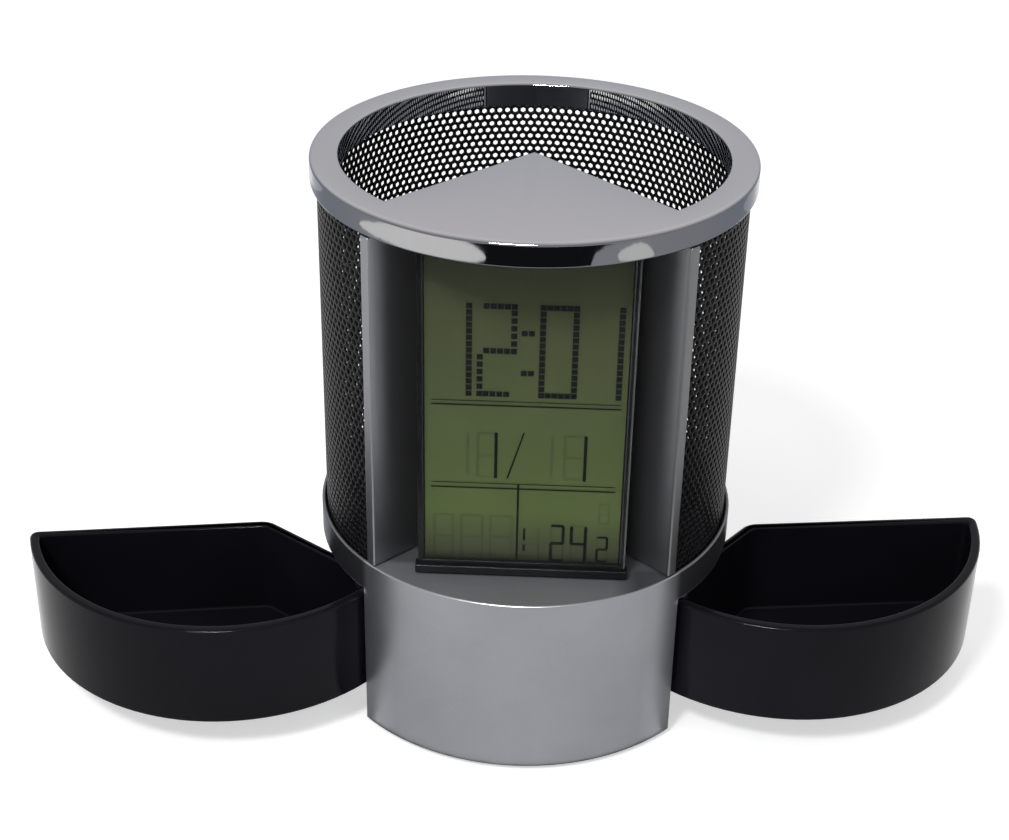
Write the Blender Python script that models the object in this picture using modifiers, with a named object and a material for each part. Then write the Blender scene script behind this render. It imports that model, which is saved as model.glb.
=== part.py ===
"""Desk pen holder with a clock in its front and two swing-out trays in its base.

Metres, +Z up. The origin lies on the body's axis at the level of the table, and the display
faces -Y. The trays are placed as they stand when the holder is in use: both swung out.
"""

import math

import bmesh
import bpy
from mathutils import Matrix, Vector

MM = 0.001

# Clearances
fit_gap = 0.3 * MM
side_clearance = 0.7 * MM

# Overall body
total_height = 115.2 * MM
foot_height = 0.8 * MM
body_radius = 42.3 * MM
base_height = 32.3 * MM
band_height = 6.8 * MM
shell_wall = 2.0 * MM
deck_thickness = 1.6 * MM
flange_width = 5.8 * MM
ledge_thickness = 1.8 * MM
panel_half_angle = math.radians(47.06)
block_half_angle = math.radians(50.3)
block_wall = 1.6 * MM
plinth_inset = 6.8 * MM
plinth_height = 6.7 * MM
plinth_deck = 1.6 * MM

# Rim and perforated cup
rim_overhang = 0.2 * MM
rim_width = 5.5 * MM
rim_height = 5.0 * MM
rim_edge_radius = 0.8 * MM
roof_thickness = 2.0 * MM
groove_depth = 2.0 * MM
band_lip = 0.75 * MM
screen_thickness = 0.6 * MM
screen_columns = 12
screen_rows = 6
screen_facets = 3
screen_rib_width = 4.0 * MM
screen_rib_height = 5.8 * MM
floor_thickness = 1.2 * MM
pad_thickness = 0.8 * MM

# Clock column
column_half_angle = math.radians(45.4)
column_setback = 0.8 * MM
column_wall = 1.6 * MM
post_depth = 1.7 * MM
post_jog = 0.7 * MM
tab_thickness = 1.6 * MM
tab_reach = 6.0 * MM
tab_depth = 5.0 * MM
tab_behind_case = 5.8 * MM

# Display
display_side_gap = 0.53 * MM
window_thickness = 0.8 * MM
frame_thickness = 0.9 * MM
frame_border = 0.9 * MM
foot_bar_height = 1.9 * MM
foot_bar_overhang = 0.5 * MM
case_wall = 1.0 * MM
case_back = 1.3 * MM
glass_thickness = 1.6 * MM
reflector_thickness = 0.3 * MM
connector_depth = 1.8 * MM
connector_height = 2.0 * MM
connector_inset = 1.7 * MM
board_thickness = 1.0 * MM
board_back_gap = 0.4 * MM
case_window_inset = 7.0 * MM
case_window_drop = 2.65 * MM
case_window_margin = 10.0 * MM
chip_radius = 5.0 * MM
chip_height = 1.3 * MM
crystal_radius = 1.0 * MM
crystal_length = 6.0 * MM
buzzer_radius = 6.0 * MM
buzzer_height = 3.0 * MM
sensor_radius = 1.1 * MM

# Keys under the base
key_count = 4
key_pitch = 6.4 * MM
key_inset = 9.3 * MM
key_radius = 1.6 * MM
key_flange_radius = 2.4 * MM
key_flange_height = 0.6 * MM
key_proud = 0.4 * MM
key_travel = 0.5 * MM
switch_size = 4.2 * MM
switch_height = 1.6 * MM
key_board_width = 27.0 * MM
key_board_margin = 0.8 * MM
ribbon_width = 8.0 * MM
ribbon_thickness = 0.3 * MM

# Battery
cell_radius = 5.2 * MM
cell_length = 44.5 * MM
cell_nub_radius = 1.9 * MM
cell_nub_height = 1.0 * MM
tube_wall = 1.0 * MM
tube_gap = 2.1 * MM
tube_side_gap = 2.13 * MM
tube_cap = 1.2 * MM
strip_thickness = 0.3 * MM
strip_size = 8.0 * MM
spring_height = 3.4 * MM
spring_radius = 2.9 * MM
spring_wire = 0.5 * MM
spring_turns = 3.0
lead_radius = 0.45 * MM
door_thickness = 1.3 * MM
door_width = 16.0 * MM
door_length = 15.0 * MM
door_travel = 6.0 * MM
door_lip = 0.5 * MM
tongue_reach = 0.9 * MM
tongue_length = 5.0 * MM

# Base plate, screws and feet
plate_thickness = 2.6 * MM
hoop_wall = 1.6 * MM
hoop_step = 0.5 * MM
screw_radius = 1.0 * MM
screw_head_radius = 1.9 * MM
screw_head_height = 1.2 * MM
screw_boss_radius = 2.6 * MM
front_boss_height = 4.0 * MM
front_screw_inset = 12.1 * MM
front_boss_offset = 1.95 * MM
rear_screw_inset = 15.4 * MM
rear_screw_angle = math.radians(132.0)
foot_radius = 3.5 * MM
foot_seat_depth = 1.0 * MM
front_foot_inset = 6.4 * MM
front_foot_angle = math.radians(30.4)
rear_foot_inset = 11.5 * MM
rear_foot_angle = math.radians(144.2)
centre_pad_radius = 12.0 * MM
centre_pad_y = 10.0 * MM

# Swing-out trays
tray_height = 22.6 * MM
tray_top_gap = 2.0 * MM
tray_inset = 1.03 * MM
tray_centre_x = 1.5 * MM
tray_centre_y = 1.85 * MM
tray_seam = 0.5 * MM
tray_heel_x = 4.9 * MM
tray_wall = 2.0 * MM
tray_floor = 1.8 * MM
tray_corner_radius = 2.0 * MM
tray_inner_corner = 1.2 * MM
pivot_from_arc = 2.4 * MM
pivot_from_side = 3.5 * MM
pivot_radius = 1.0 * MM
pivot_head_radius = 1.6 * MM
pivot_head_height = 0.9 * MM
pivot_boss_radius = 2.4 * MM
pin_engagement = 0.8 * MM
washer_radius = 2.2 * MM
washer_thickness = 0.5 * MM
left_open_angle = math.radians(103.7)
right_open_angle = math.radians(87.9)

# Radii and levels that follow from the sizes above
plinth_radius = body_radius - plinth_inset
rim_radius = body_radius + rim_overhang
tray_radius = body_radius - tray_inset
flange_radius = body_radius - flange_width
key_setback = body_radius - key_inset
band_bottom = foot_height + base_height
band_top = band_bottom + band_height
deck_top = band_bottom + deck_thickness
rim_bottom = total_height - rim_height
plinth_top = foot_height + plinth_height
plate_top = foot_height + plate_thickness
tray_top = band_bottom - tray_top_gap
tray_bottom = tray_top - tray_height
pin_tip = band_bottom + pin_engagement

round_segments = 60
small_segments = 14


def clear_scene():
    for item in list(bpy.data.objects):
        bpy.data.objects.remove(item, do_unlink=True)


clear_scene()

parts = bpy.data.collections.new("pen_holder_clock")
cutters = bpy.data.collections.new("cutters")
bpy.context.scene.collection.children.link(parts)
bpy.context.scene.collection.children.link(cutters)


def finish(name, colour, roughness, metallic):
    made = bpy.data.materials.new(name)
    made.use_nodes = True
    shader = made.node_tree.nodes["Principled BSDF"]
    shader.inputs["Base Color"].default_value = (*colour, 1.0)
    shader.inputs["Roughness"].default_value = roughness
    shader.inputs["Metallic"].default_value = metallic
    return made


silver_plastic = finish("silver_plastic", (0.42, 0.42, 0.44), 0.38, 0.7)
plated = finish("plated", (0.62, 0.63, 0.65), 0.12, 1.0)
black_gloss = finish("black_gloss", (0.012, 0.012, 0.014), 0.12, 0.0)
black_matt = finish("black_matt", (0.02, 0.02, 0.022), 0.55, 0.0)
black_enamel = finish("black_enamel", (0.015, 0.015, 0.016), 0.35, 0.3)
clear_plastic = finish("clear_plastic", (0.9, 0.92, 0.9), 0.05, 0.0)
lcd_green = finish("lcd_green", (0.20, 0.24, 0.08), 0.25, 0.0)
reflector_foil = finish("reflector_foil", (0.55, 0.58, 0.5), 0.4, 0.2)
board_green = finish("board_green", (0.02, 0.13, 0.05), 0.45, 0.0)
dark_rubber = finish("dark_rubber", (0.03, 0.03, 0.03), 0.8, 0.0)
spring_steel = finish("spring_steel", (0.6, 0.6, 0.6), 0.3, 1.0)
brass = finish("brass", (0.65, 0.48, 0.2), 0.3, 1.0)
cell_wrap = finish("cell_wrap", (0.1, 0.12, 0.2), 0.35, 0.4)
ribbon_film = finish("ribbon_film", (0.45, 0.28, 0.08), 0.4, 0.0)


def keep_part(item, material):
    item.data.materials.clear()
    item.data.materials.append(material)
    for collection in list(item.users_collection):
        collection.objects.unlink(item)
    parts.objects.link(item)
    return item


def make_cutter(item):
    item.hide_render = True
    item.display_type = "WIRE"
    for collection in list(item.users_collection):
        collection.objects.unlink(item)
    cutters.objects.link(item)
    return item


def combine(item, other, operation):
    make_cutter(other)
    step = item.modifiers.new(other.name, "BOOLEAN")
    step.operation = operation
    step.solver = "EXACT"
    step.object = other


def cut(item, *others):
    for other in others:
        combine(item, other, "DIFFERENCE")


def join(item, *others):
    for other in others:
        combine(item, other, "UNION")


def smooth(item, angle=30.0):
    item.data.shade_smooth()
    item.data.set_sharp_from_angle(angle=math.radians(angle))


def box(name, x, y, z):
    """A box between the limits x, y and z, each a pair of low and high values."""
    size = Vector((x[1] - x[0], y[1] - y[0], z[1] - z[0]))
    centre = Vector((x[0] + x[1], y[0] + y[1], z[0] + z[1])) / 2
    bpy.ops.mesh.primitive_cube_add(size=1.0, location=centre)
    item = bpy.context.object
    item.name = name
    item.data.transform(Matrix.Diagonal((*size, 1.0)))
    return item


def rod(name, radius, x, y, z, segments=small_segments):
    """An upright cylinder at x, y between the levels in z."""
    bpy.ops.mesh.primitive_cylinder_add(
        vertices=segments, radius=radius, depth=z[1] - z[0], location=(x, y, (z[0] + z[1]) / 2))
    item = bpy.context.object
    item.name = name
    smooth(item)
    return item


def plate(name, outline, z):
    """A flat shape with the given plan outline, between the levels in z."""
    shape = bpy.data.curves.new(name, "CURVE")
    shape.dimensions = "2D"
    shape.fill_mode = "BOTH"
    shape.extrude = (z[1] - z[0]) / 2
    line = shape.splines.new("POLY")
    line.points.add(len(outline) - 1)
    for point, (x, y) in zip(line.points, outline):
        point.co = (x, y, 0.0, 1.0)
    line.use_cyclic_u = True
    guide = bpy.data.objects.new(name + "_outline", shape)
    guide.location.z = (z[0] + z[1]) / 2
    bpy.context.scene.collection.objects.link(guide)
    bpy.context.view_layer.update()
    mesh = bpy.data.meshes.new_from_object(guide.evaluated_get(bpy.context.evaluated_depsgraph_get()))
    mesh.name = name
    item = bpy.data.objects.new(name, mesh)
    item.matrix_world = guide.matrix_world.copy()
    bpy.context.scene.collection.objects.link(item)
    bpy.data.objects.remove(guide, do_unlink=True)
    weld = bmesh.new()
    weld.from_mesh(mesh)
    bmesh.ops.remove_doubles(weld, verts=weld.verts, dist=0.001 * MM)
    bmesh.ops.recalc_face_normals(weld, faces=weld.faces)
    weld.to_mesh(mesh)
    weld.free()
    smooth(item)
    return item


def turned(name, profile, segments=round_segments):
    """A body of revolution about Z: the profile runs down its outer side."""
    mesh = bpy.data.meshes.new(name)
    corners = [(radius, 0.0, level) for radius, level in profile]
    mesh.from_pydata(corners, [(i, i + 1) for i in range(len(corners) - 1)], [])
    item = bpy.data.objects.new(name, mesh)
    bpy.context.scene.collection.objects.link(item)
    spin = item.modifiers.new("turn", "SCREW")
    spin.steps = segments
    spin.render_steps = segments
    spin.use_merge_vertices = True
    spin.merge_threshold = 0.01 * MM
    spin.use_smooth_shade = True
    return item


def round_upright_edges(item, radius, segments=3):
    """Rounds the upright corners of a plate, but not the facets of its arcs."""
    work = bmesh.new()
    work.from_mesh(item.data)
    corners = [
        edge for edge in work.edges
        if abs(edge.verts[0].co.z - edge.verts[1].co.z) > 0.1 * MM
        and edge.calc_face_angle(0.0) > math.radians(20)
    ]
    bmesh.ops.bevel(work, geom=corners, offset=radius, offset_type="OFFSET", affect="EDGES",
                    segments=segments, profile=0.5)
    work.to_mesh(item.data)
    work.free()
    smooth(item)


def polar(radius, angle):
    """A plan point at an angle from the front, turning towards +X."""
    return Vector((radius * math.sin(angle), -radius * math.cos(angle)))


def arc(radius, start, end, steps, centre=Vector((0.0, 0.0))):
    return [centre + polar(radius, start + (end - start) * i / steps) for i in range(steps + 1)]


def meet_circle(point, direction, radius, centre=Vector((0.0, 0.0))):
    """Where the ray from point along direction leaves a circle."""
    start = point - centre
    along = start.dot(direction)
    return point + direction * (math.sqrt(along ** 2 - start.length_squared + radius ** 2) - along)


def mirrored(points):
    return [Vector((-point.x, point.y)) for point in reversed(points)]


def plan_angle(point):
    return math.atan2(point.x, -point.y)


# The wedge that the clock stands in: two walls that meet behind the display
column_apex = Vector((0.0, -column_setback))
column_direction = polar(1.0, column_half_angle)
inner_column_apex = column_apex - Vector((0.0, column_wall / math.sin(column_half_angle)))


def wedge(apex, half_angle, radius, steps=24):
    """Plan outline of a sector with its point at apex, cut off by a circle about the axis."""
    edge = meet_circle(apex, polar(1.0, half_angle), radius)
    limit = plan_angle(edge)
    return [apex] + arc(radius, limit, -limit, steps)


def cup_outline(radius, inset):
    """Plan outline of the pen space, which goes round the wedge on three sides."""
    apex = column_apex + Vector((0.0, inset / math.sin(column_half_angle)))
    inner = meet_circle(apex, column_direction, body_radius - post_depth - post_jog)
    corner = max(panel_half_angle + inset / radius, plan_angle(inner) + inset / radius)
    side = [inner, polar(inner.length, corner)]
    back = arc(radius, corner, math.tau - corner, round_segments * 3 // 4)
    return [apex] + side + back + mirrored(side)


# Body shell: front panel, tray housing walls, band, ledge and both decks
panel_corner = polar(body_radius, panel_half_angle)
block_direction = polar(1.0, block_half_angle)
block_apex = Vector((0.0, panel_corner.y + panel_corner.x / math.tan(block_half_angle)))
cavity_apex = block_apex - Vector((0.0, block_wall / math.sin(block_half_angle)))

screen_outer = body_radius - band_lip - fit_gap
screen_inner = screen_outer - screen_thickness
tube_outer = cell_radius + fit_gap + tube_wall

# The tray in its closed place: arc, straight side along the front block, straight back seam
tray_centre = Vector((tray_centre_x, tray_centre_y))
block_normal = Vector((math.cos(block_half_angle), math.sin(block_half_angle)))
side_start = block_apex + block_normal * side_clearance
heel_run = (tray_heel_x - side_start.x) / block_direction.x
tray_heel = side_start + block_direction * heel_run
tray_toe = meet_circle(tray_heel, block_direction, tray_radius, tray_centre)
tray_tail = Vector((tray_seam, tray_centre.y
                    + math.sqrt(tray_radius ** 2 - (tray_seam - tray_centre.x) ** 2)))
pivot = meet_circle(tray_heel + block_normal * pivot_from_side, block_direction,
                    tray_radius - pivot_from_arc, tray_centre)


def block_shape(name, apex, radius, z):
    return plate(name, wedge(apex, block_half_angle, radius), z)


def screw_places():
    beside_wall = cavity_apex - Vector((0.0, front_boss_offset / math.sin(block_half_angle)))
    front = meet_circle(beside_wall, block_direction, body_radius - front_screw_inset)
    rear = polar(body_radius - rear_screw_inset, rear_screw_angle)
    return [(side * place.x, place.y) for place in (front, rear) for side in (-1, 1)]


def foot_places():
    front = polar(body_radius - front_foot_inset, front_foot_angle)
    rear = polar(body_radius - rear_foot_inset, rear_foot_angle)
    return [(side * place.x, place.y) for place in (front, rear) for side in (-1, 1)]


passage_half = tube_outer + fit_gap
tube_setback = -cavity_apex.y + (tube_outer + tube_side_gap) / math.sin(block_half_angle)
board_rear = -(tube_setback + tube_outer + tube_gap)
board_front = board_rear - board_thickness
case_rear = board_rear + board_back_gap + case_back
ribbon_y = (board_front + board_rear) / 2
tab_setback = -(case_rear + tab_behind_case)
column_screw_x = column_direction.x / -column_direction.y * (tab_setback - column_setback) \
    - column_wall / math.cos(column_half_angle) - tab_reach / 2
tab_screw_places = [(side * column_screw_x, -tab_setback) for side in (-1, 1)]


def build_body_shell():
    shell = rod("body_shell", body_radius, 0, 0, (band_bottom, band_top), round_segments)
    join(shell, block_shape("front_block", block_apex, body_radius,
                            (foot_height, band_bottom + deck_thickness / 2)))
    opening_side = meet_circle(block_apex, block_direction, flange_radius)
    opening_limit = plan_angle(opening_side) + block_wall / flange_radius
    cut(shell,
        plate("cup_recess", cup_outline(screen_outer + fit_gap, 0.0), (deck_top, band_top + 5 * MM)),
        plate("cup_opening", [column_apex + Vector((0.0, column_wall))]
              + arc(flange_radius, opening_limit, math.tau - opening_limit, 40),
              (band_bottom - 1 * MM, deck_top + 1 * MM)),
        rod("plinth_recess", plinth_radius + fit_gap, 0, 0, (0.0, plinth_top + fit_gap),
            round_segments),
        block_shape("block_cavity", cavity_apex, body_radius - shell_wall,
                    (0.0, band_bottom + deck_thickness / 2)),
        plate("ledge_pocket",
              wedge(inner_column_apex - Vector((0.0, fit_gap)), column_half_angle,
                    body_radius - shell_wall), (band_bottom, band_top - ledge_thickness)),
        box("ledge_passage", (-passage_half, passage_half),
            (ribbon_y - 2 * ribbon_thickness - fit_gap, -tube_setback + passage_half),
            (band_bottom, band_top + 5 * MM)))
    for i, (x, y) in enumerate(screw_places()[:2]):
        boss_bottom = plinth_top + fit_gap
        join(shell, rod(f"screw_boss_{i}", screw_boss_radius, x, y,
                        (boss_bottom, boss_bottom + front_boss_height)))
        cut(shell, rod(f"screw_boss_hole_{i}", screw_radius + fit_gap, x, y,
                       (boss_bottom - 1 * MM, boss_bottom + front_boss_height - screw_radius)))
    for side in (-1, 1):
        x = side * pivot.x
        boss_bottom = tray_top + washer_thickness + 2 * fit_gap
        join(shell, rod(f"pivot_boss_{side}", pivot_boss_radius, x, pivot.y,
                        (boss_bottom, band_bottom + deck_thickness / 2)))
        cut(shell, rod(f"pivot_boss_hole_{side}", pivot_radius + fit_gap, x, pivot.y,
                       (boss_bottom - 1 * MM, pin_tip + fit_gap)))
    for i, (x, y) in enumerate(tab_screw_places):
        cut(shell, rod(f"tab_screw_hole_{i}", screw_radius + fit_gap, x, y,
                       (band_bottom, band_top + 1 * MM)))
    smooth(shell)
    return keep_part(shell, silver_plastic)


def build_plinth():
    level = (plinth_top - plinth_deck, plinth_top)
    plinth = rod("plinth", plinth_radius, 0, 0, level, round_segments)
    cut(plinth, plate("plinth_front", wedge(cavity_apex, block_half_angle, body_radius),
                      (level[0] - 1 * MM, level[1] + 1 * MM)))
    for i, (x, y) in enumerate(screw_places()):
        bottom = plate_top + fit_gap
        ear = screw_boss_radius + screw_radius if i < 2 else screw_boss_radius
        join(plinth, rod(f"plinth_boss_{i}", ear, x, y, (bottom, level[1])))
        hole_top = level[1] + 1 * MM if i < 2 else level[1] - plinth_deck / 2
        cut(plinth, rod(f"plinth_hole_{i}", screw_radius + fit_gap, x, y, (bottom - 1 * MM, hole_top)))
    return keep_part(plinth, silver_plastic)


# Battery door: it slides back by its travel, and its tongues then come free of the lips
door_level = foot_height + fit_gap / 2
door_front = -tube_setback - door_length / 2
door_rear = -tube_setback + door_length / 2
tongue_side = door_width / 2 + tongue_reach
track_top = foot_height + door_thickness + 2 * fit_gap
strip_bottom = door_level + door_thickness + fit_gap
cell_bottom = strip_bottom + strip_thickness + fit_gap
cell_top = cell_bottom + cell_length
tube_bottom = plate_top + fit_gap
spring_bottom = cell_top + fit_gap
tube_top = spring_bottom + spring_height + fit_gap + tube_cap


def build_base_plate():
    front_radius = body_radius - shell_wall - fit_gap
    hoop_top = plinth_top - plinth_deck - fit_gap
    side_apex = cavity_apex - Vector((0.0, fit_gap / math.sin(block_half_angle)))
    front_limit = plan_angle(meet_circle(side_apex, block_direction, front_radius))
    rear_limit = plan_angle(meet_circle(side_apex, block_direction, plinth_radius))
    outline = arc(front_radius, -front_limit, front_limit, 20) \
        + arc(plinth_radius, rear_limit, math.tau - rear_limit, 40)
    base = plate("base_plate", outline, (foot_height, plate_top))
    hoop_outer = plinth_radius - hoop_step
    hoop = arc(hoop_outer, panel_half_angle, math.tau - panel_half_angle, 40) \
        + arc(hoop_outer - hoop_wall, math.tau - panel_half_angle, panel_half_angle, 40)
    join(base, plate("plate_hoop", hoop, (plate_top - plate_thickness / 2, hoop_top)))
    cut(base,
        rod("cell_mouth", cell_radius + fit_gap, 0, -tube_setback, (0.0, plate_top + 1 * MM), 32),
        box("door_track", (-door_width / 2 - fit_gap, door_width / 2 + fit_gap),
            (door_front - fit_gap, door_rear + door_travel + fit_gap), (0.0, track_top)),
        box("tongue_groove", (-tongue_side - fit_gap, tongue_side + fit_gap),
            (door_front - fit_gap, door_rear + door_travel + fit_gap),
            (foot_height + door_lip, track_top)),
        box("tongue_notch", (-tongue_side - fit_gap, tongue_side + fit_gap),
            (door_front + tongue_length + 2 * fit_gap, door_rear + door_travel + fit_gap),
            (0.0, track_top)),
        box("strip_channel", (-strip_size / 2 - fit_gap, strip_size / 2 + fit_gap),
            (-tube_setback - strip_size / 4 - fit_gap,
             -tube_setback + strip_size / 4 + door_travel + fit_gap),
            (0.0, strip_bottom + strip_thickness + fit_gap / 2)),
        rod("centre_seat", centre_pad_radius + fit_gap, 0, centre_pad_y,
            (0.0, foot_height + foot_seat_depth + fit_gap), 40))
    for i in range(key_count):
        cut(base, rod(f"key_hole_{i}", key_radius + fit_gap, key_x(i), -key_setback,
                      (0.0, plate_top + 1 * MM)))
    for i, (x, y) in enumerate(screw_places()):
        cut(base,
            rod(f"plate_hole_{i}", screw_radius + fit_gap, x, y, (0.0, plate_top + 1 * MM)),
            rod(f"plate_sink_{i}", screw_head_radius + fit_gap, x, y,
                (0.0, foot_height + screw_head_height + fit_gap)))
    for i, (x, y) in enumerate(foot_places()):
        cut(base, rod(f"foot_seat_{i}", foot_radius + fit_gap, x, y,
                      (0.0, foot_height + foot_seat_depth + fit_gap)))
    smooth(base)
    return keep_part(base, black_matt)


def build_top_cap():
    cap_profile = [(0.0, total_height)]
    top_arc = arc(rim_edge_radius, math.pi, math.pi / 2, 4)
    for point in top_arc:
        cap_profile.append((rim_radius - rim_edge_radius + point.x,
                            total_height - rim_edge_radius + point.y))
    low = rim_edge_radius / 2
    cap_profile += [(rim_radius, rim_bottom + low), (rim_radius - low, rim_bottom), (0.0, rim_bottom)]
    cap = turned("top_cap", cap_profile)
    opening = meet_circle(column_apex, column_direction, rim_radius - rim_width)
    limit = plan_angle(opening)
    groove_mid = (screen_inner + screen_outer) / 2
    groove = rod("screen_groove", groove_mid + screen_thickness / 2 + fit_gap, 0, 0,
                 (rim_bottom - 1 * MM, rim_bottom + groove_depth), round_segments)
    cut(groove, rod("groove_core", groove_mid - screen_thickness / 2 - fit_gap, 0, 0,
                    (rim_bottom - 2 * MM, rim_bottom + groove_depth + 1 * MM), round_segments))
    cut(cap,
        plate("cup_mouth", [column_apex] + arc(rim_radius - rim_width, limit, math.tau - limit, 72),
              (rim_bottom - 1 * MM, total_height + 1 * MM)),
        groove,
        plate("roof_pocket", wedge(inner_column_apex, column_half_angle,
                                   rim_radius - rim_width - column_wall),
              (rim_bottom - 1 * MM, total_height - roof_thickness)))
    return keep_part(cap, plated)


def build_clock_column():
    level = (band_top + fit_gap, rim_bottom - fit_gap)
    inner_edge = meet_circle(inner_column_apex, column_direction, body_radius)
    rear = meet_circle(column_apex, column_direction, body_radius - post_depth - post_jog)
    post_back = polar(body_radius - post_depth, panel_half_angle)
    half = [rear, post_back] + arc(body_radius, panel_half_angle, plan_angle(inner_edge), 4)
    column = plate("clock_column", [column_apex] + half + [inner_column_apex] + mirrored(half), level)
    for i, (x, y) in enumerate(tab_screw_places):
        side = 1 if x > 0 else -1
        reach = sorted((x - side * tab_reach / 2, x + side * (tab_reach / 2 + column_wall)))
        join(column, box(f"tab_{i}", reach, (y - tab_depth / 2, y + tab_depth / 2),
                         (level[0], level[0] + tab_thickness * 2)))
        cut(column, rod(f"tab_hole_{i}", screw_radius + fit_gap, x, y,
                        (level[0] - 1 * MM, level[0] + tab_thickness * 2 + 1 * MM)))
    smooth(column)
    return keep_part(column, silver_plastic)


def build_mesh_screen():
    """The wall of the cup: a bent sheet with a plain grid of openings between the band and the rim."""
    start = panel_half_angle + 2 * fit_gap / screen_outer
    rib = screen_rib_width / screen_outer
    pitch = (math.tau - 2 * start - rib) / screen_columns
    angles = [start]
    for column in range(screen_columns):
        left = start + rib + column * pitch
        angles += [left + (pitch - rib) * i / screen_facets for i in range(screen_facets + 1)]
    angles.append(math.tau - start)
    rise = (rim_bottom - band_top - screen_rib_height) / screen_rows
    levels = [deck_top + fit_gap]
    for row in range(screen_rows):
        low = band_top + screen_rib_height + row * rise
        levels += [low, low + rise - screen_rib_height]
    levels.append(rim_bottom + groove_depth - fit_gap)

    def filled(i, j):
        inside = 0 <= i < len(angles) - 1 and 0 <= j < len(levels) - 1
        return inside and (i % (screen_facets + 1) == 0 or j % 2 == 0)

    count = len(levels)
    corners = [(*polar(radius, angle), level)
               for radius in (screen_outer, screen_inner) for angle in angles for level in levels]
    depth = len(angles) * count
    faces = []
    for i in range(len(angles) - 1):
        for j in range(count - 1):
            if not filled(i, j):
                continue
            loop = [i * count + j, (i + 1) * count + j, (i + 1) * count + j + 1, i * count + j + 1]
            faces += [loop, [corner + depth for corner in reversed(loop)]]
            beside = ((i, j - 1), (i + 1, j), (i, j + 1), (i - 1, j))
            for side, (a, b) in zip(beside, zip(loop, loop[1:] + loop[:1])):
                if not filled(*side):
                    faces.append([b, a, a + depth, b + depth])
    mesh = bpy.data.meshes.new("mesh_screen")
    mesh.from_pydata(corners, [], faces)
    screen = bpy.data.objects.new("mesh_screen", mesh)
    bpy.context.scene.collection.objects.link(screen)
    smooth(screen)
    return keep_part(screen, black_enamel)


def build_cup_floor():
    outline = cup_outline(screen_inner - fit_gap, fit_gap)
    floor_bottom = deck_top + fit_gap
    pad_bottom = floor_bottom + floor_thickness + fit_gap
    keep_part(plate("cup_floor", outline, (floor_bottom, floor_bottom + floor_thickness)), black_matt)
    keep_part(plate("cup_pad", outline, (pad_bottom, pad_bottom + pad_thickness)), black_matt)


# Display stack, from the window at the front to the board at the back
display_bottom = band_top + fit_gap
display_top = rim_bottom - 4 * fit_gap
connector_front = board_front - fit_gap - connector_depth
glass_rear = connector_front - fit_gap
glass_front = glass_rear - glass_thickness
frame_rear = glass_front - fit_gap
frame_front = frame_rear - frame_thickness
window_front = frame_front - fit_gap - window_thickness
half_width = (inner_column_apex.y - case_rear) * math.tan(column_half_angle) - display_side_gap
cavity_half = half_width - case_wall
glass_half = cavity_half - fit_gap
view_bottom = display_bottom + foot_bar_height
view_top = display_top - foot_bar_height
cavity_bottom = display_bottom + case_wall
cavity_top = display_top - case_wall
glass_bottom = cavity_bottom + fit_gap
glass_top = cavity_top - fit_gap


def build_display_case():
    case = box("display_case", (-half_width, half_width), (glass_front, case_rear),
               (display_bottom, display_top))
    flange = half_width + display_side_gap - fit_gap
    join(case, box("case_flange", (-flange, flange), (case_rear - case_back, case_rear),
                   (display_bottom, display_top)))
    cut(case,
        box("case_cavity", (-cavity_half, cavity_half), (glass_front - 1 * MM, case_rear - case_back),
            (cavity_bottom, cavity_top)),
        box("case_window", (-half_width + case_window_inset, half_width - case_window_inset),
            (case_rear - 2 * case_back, case_rear + 1 * MM),
            (tube_top - case_window_drop, display_top - case_window_margin)),
        box("case_slot", (-ribbon_width / 2 - fit_gap, ribbon_width / 2 + fit_gap),
            (ribbon_y - ribbon_thickness - fit_gap, ribbon_y + ribbon_thickness + fit_gap),
            (display_bottom - 1 * MM, cavity_bottom + 1 * MM)))
    return keep_part(case, black_matt)


def build_display_frame():
    frame = box("display_frame", (-half_width, half_width), (frame_front, frame_rear),
                (display_bottom, display_top))
    bar = box("foot_bar", (-half_width - foot_bar_overhang, half_width + foot_bar_overhang),
              (window_front - foot_bar_overhang, frame_rear), (display_bottom, view_bottom))
    join(frame, bar)
    cut(frame, box("frame_opening", (-half_width + frame_border, half_width - frame_border),
                   (frame_front - 2 * window_thickness, frame_rear + 1 * MM),
                   (view_bottom + fit_gap, view_top)))
    return keep_part(frame, black_gloss)


def build_display_window():
    window = box("display_window", (-half_width, half_width),
                 (window_front, window_front + window_thickness),
                 (view_bottom + fit_gap, display_top))
    return keep_part(window, clear_plastic)


def build_lcd():
    glass = box("lcd_glass", (-glass_half, glass_half), (glass_front, glass_rear),
                (glass_bottom, glass_top))
    keep_part(glass, lcd_green)
    reflector = box("lcd_reflector", (-glass_half, glass_half),
                    (connector_front, connector_front + reflector_thickness),
                    (glass_bottom + connector_height + 2 * fit_gap,
                     glass_top - connector_height - 2 * fit_gap))
    keep_part(reflector, reflector_foil)
    levels = {
        "bottom": (glass_bottom + fit_gap, glass_bottom + fit_gap + connector_height),
        "top": (glass_top - fit_gap - connector_height, glass_top - fit_gap),
    }
    for place, level in levels.items():
        strip_half = glass_half - connector_inset
        strip = box(f"connector_strip_{place}", (-strip_half, strip_half),
                    (connector_front, connector_front + connector_depth), level)
        keep_part(strip, dark_rubber)


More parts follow.
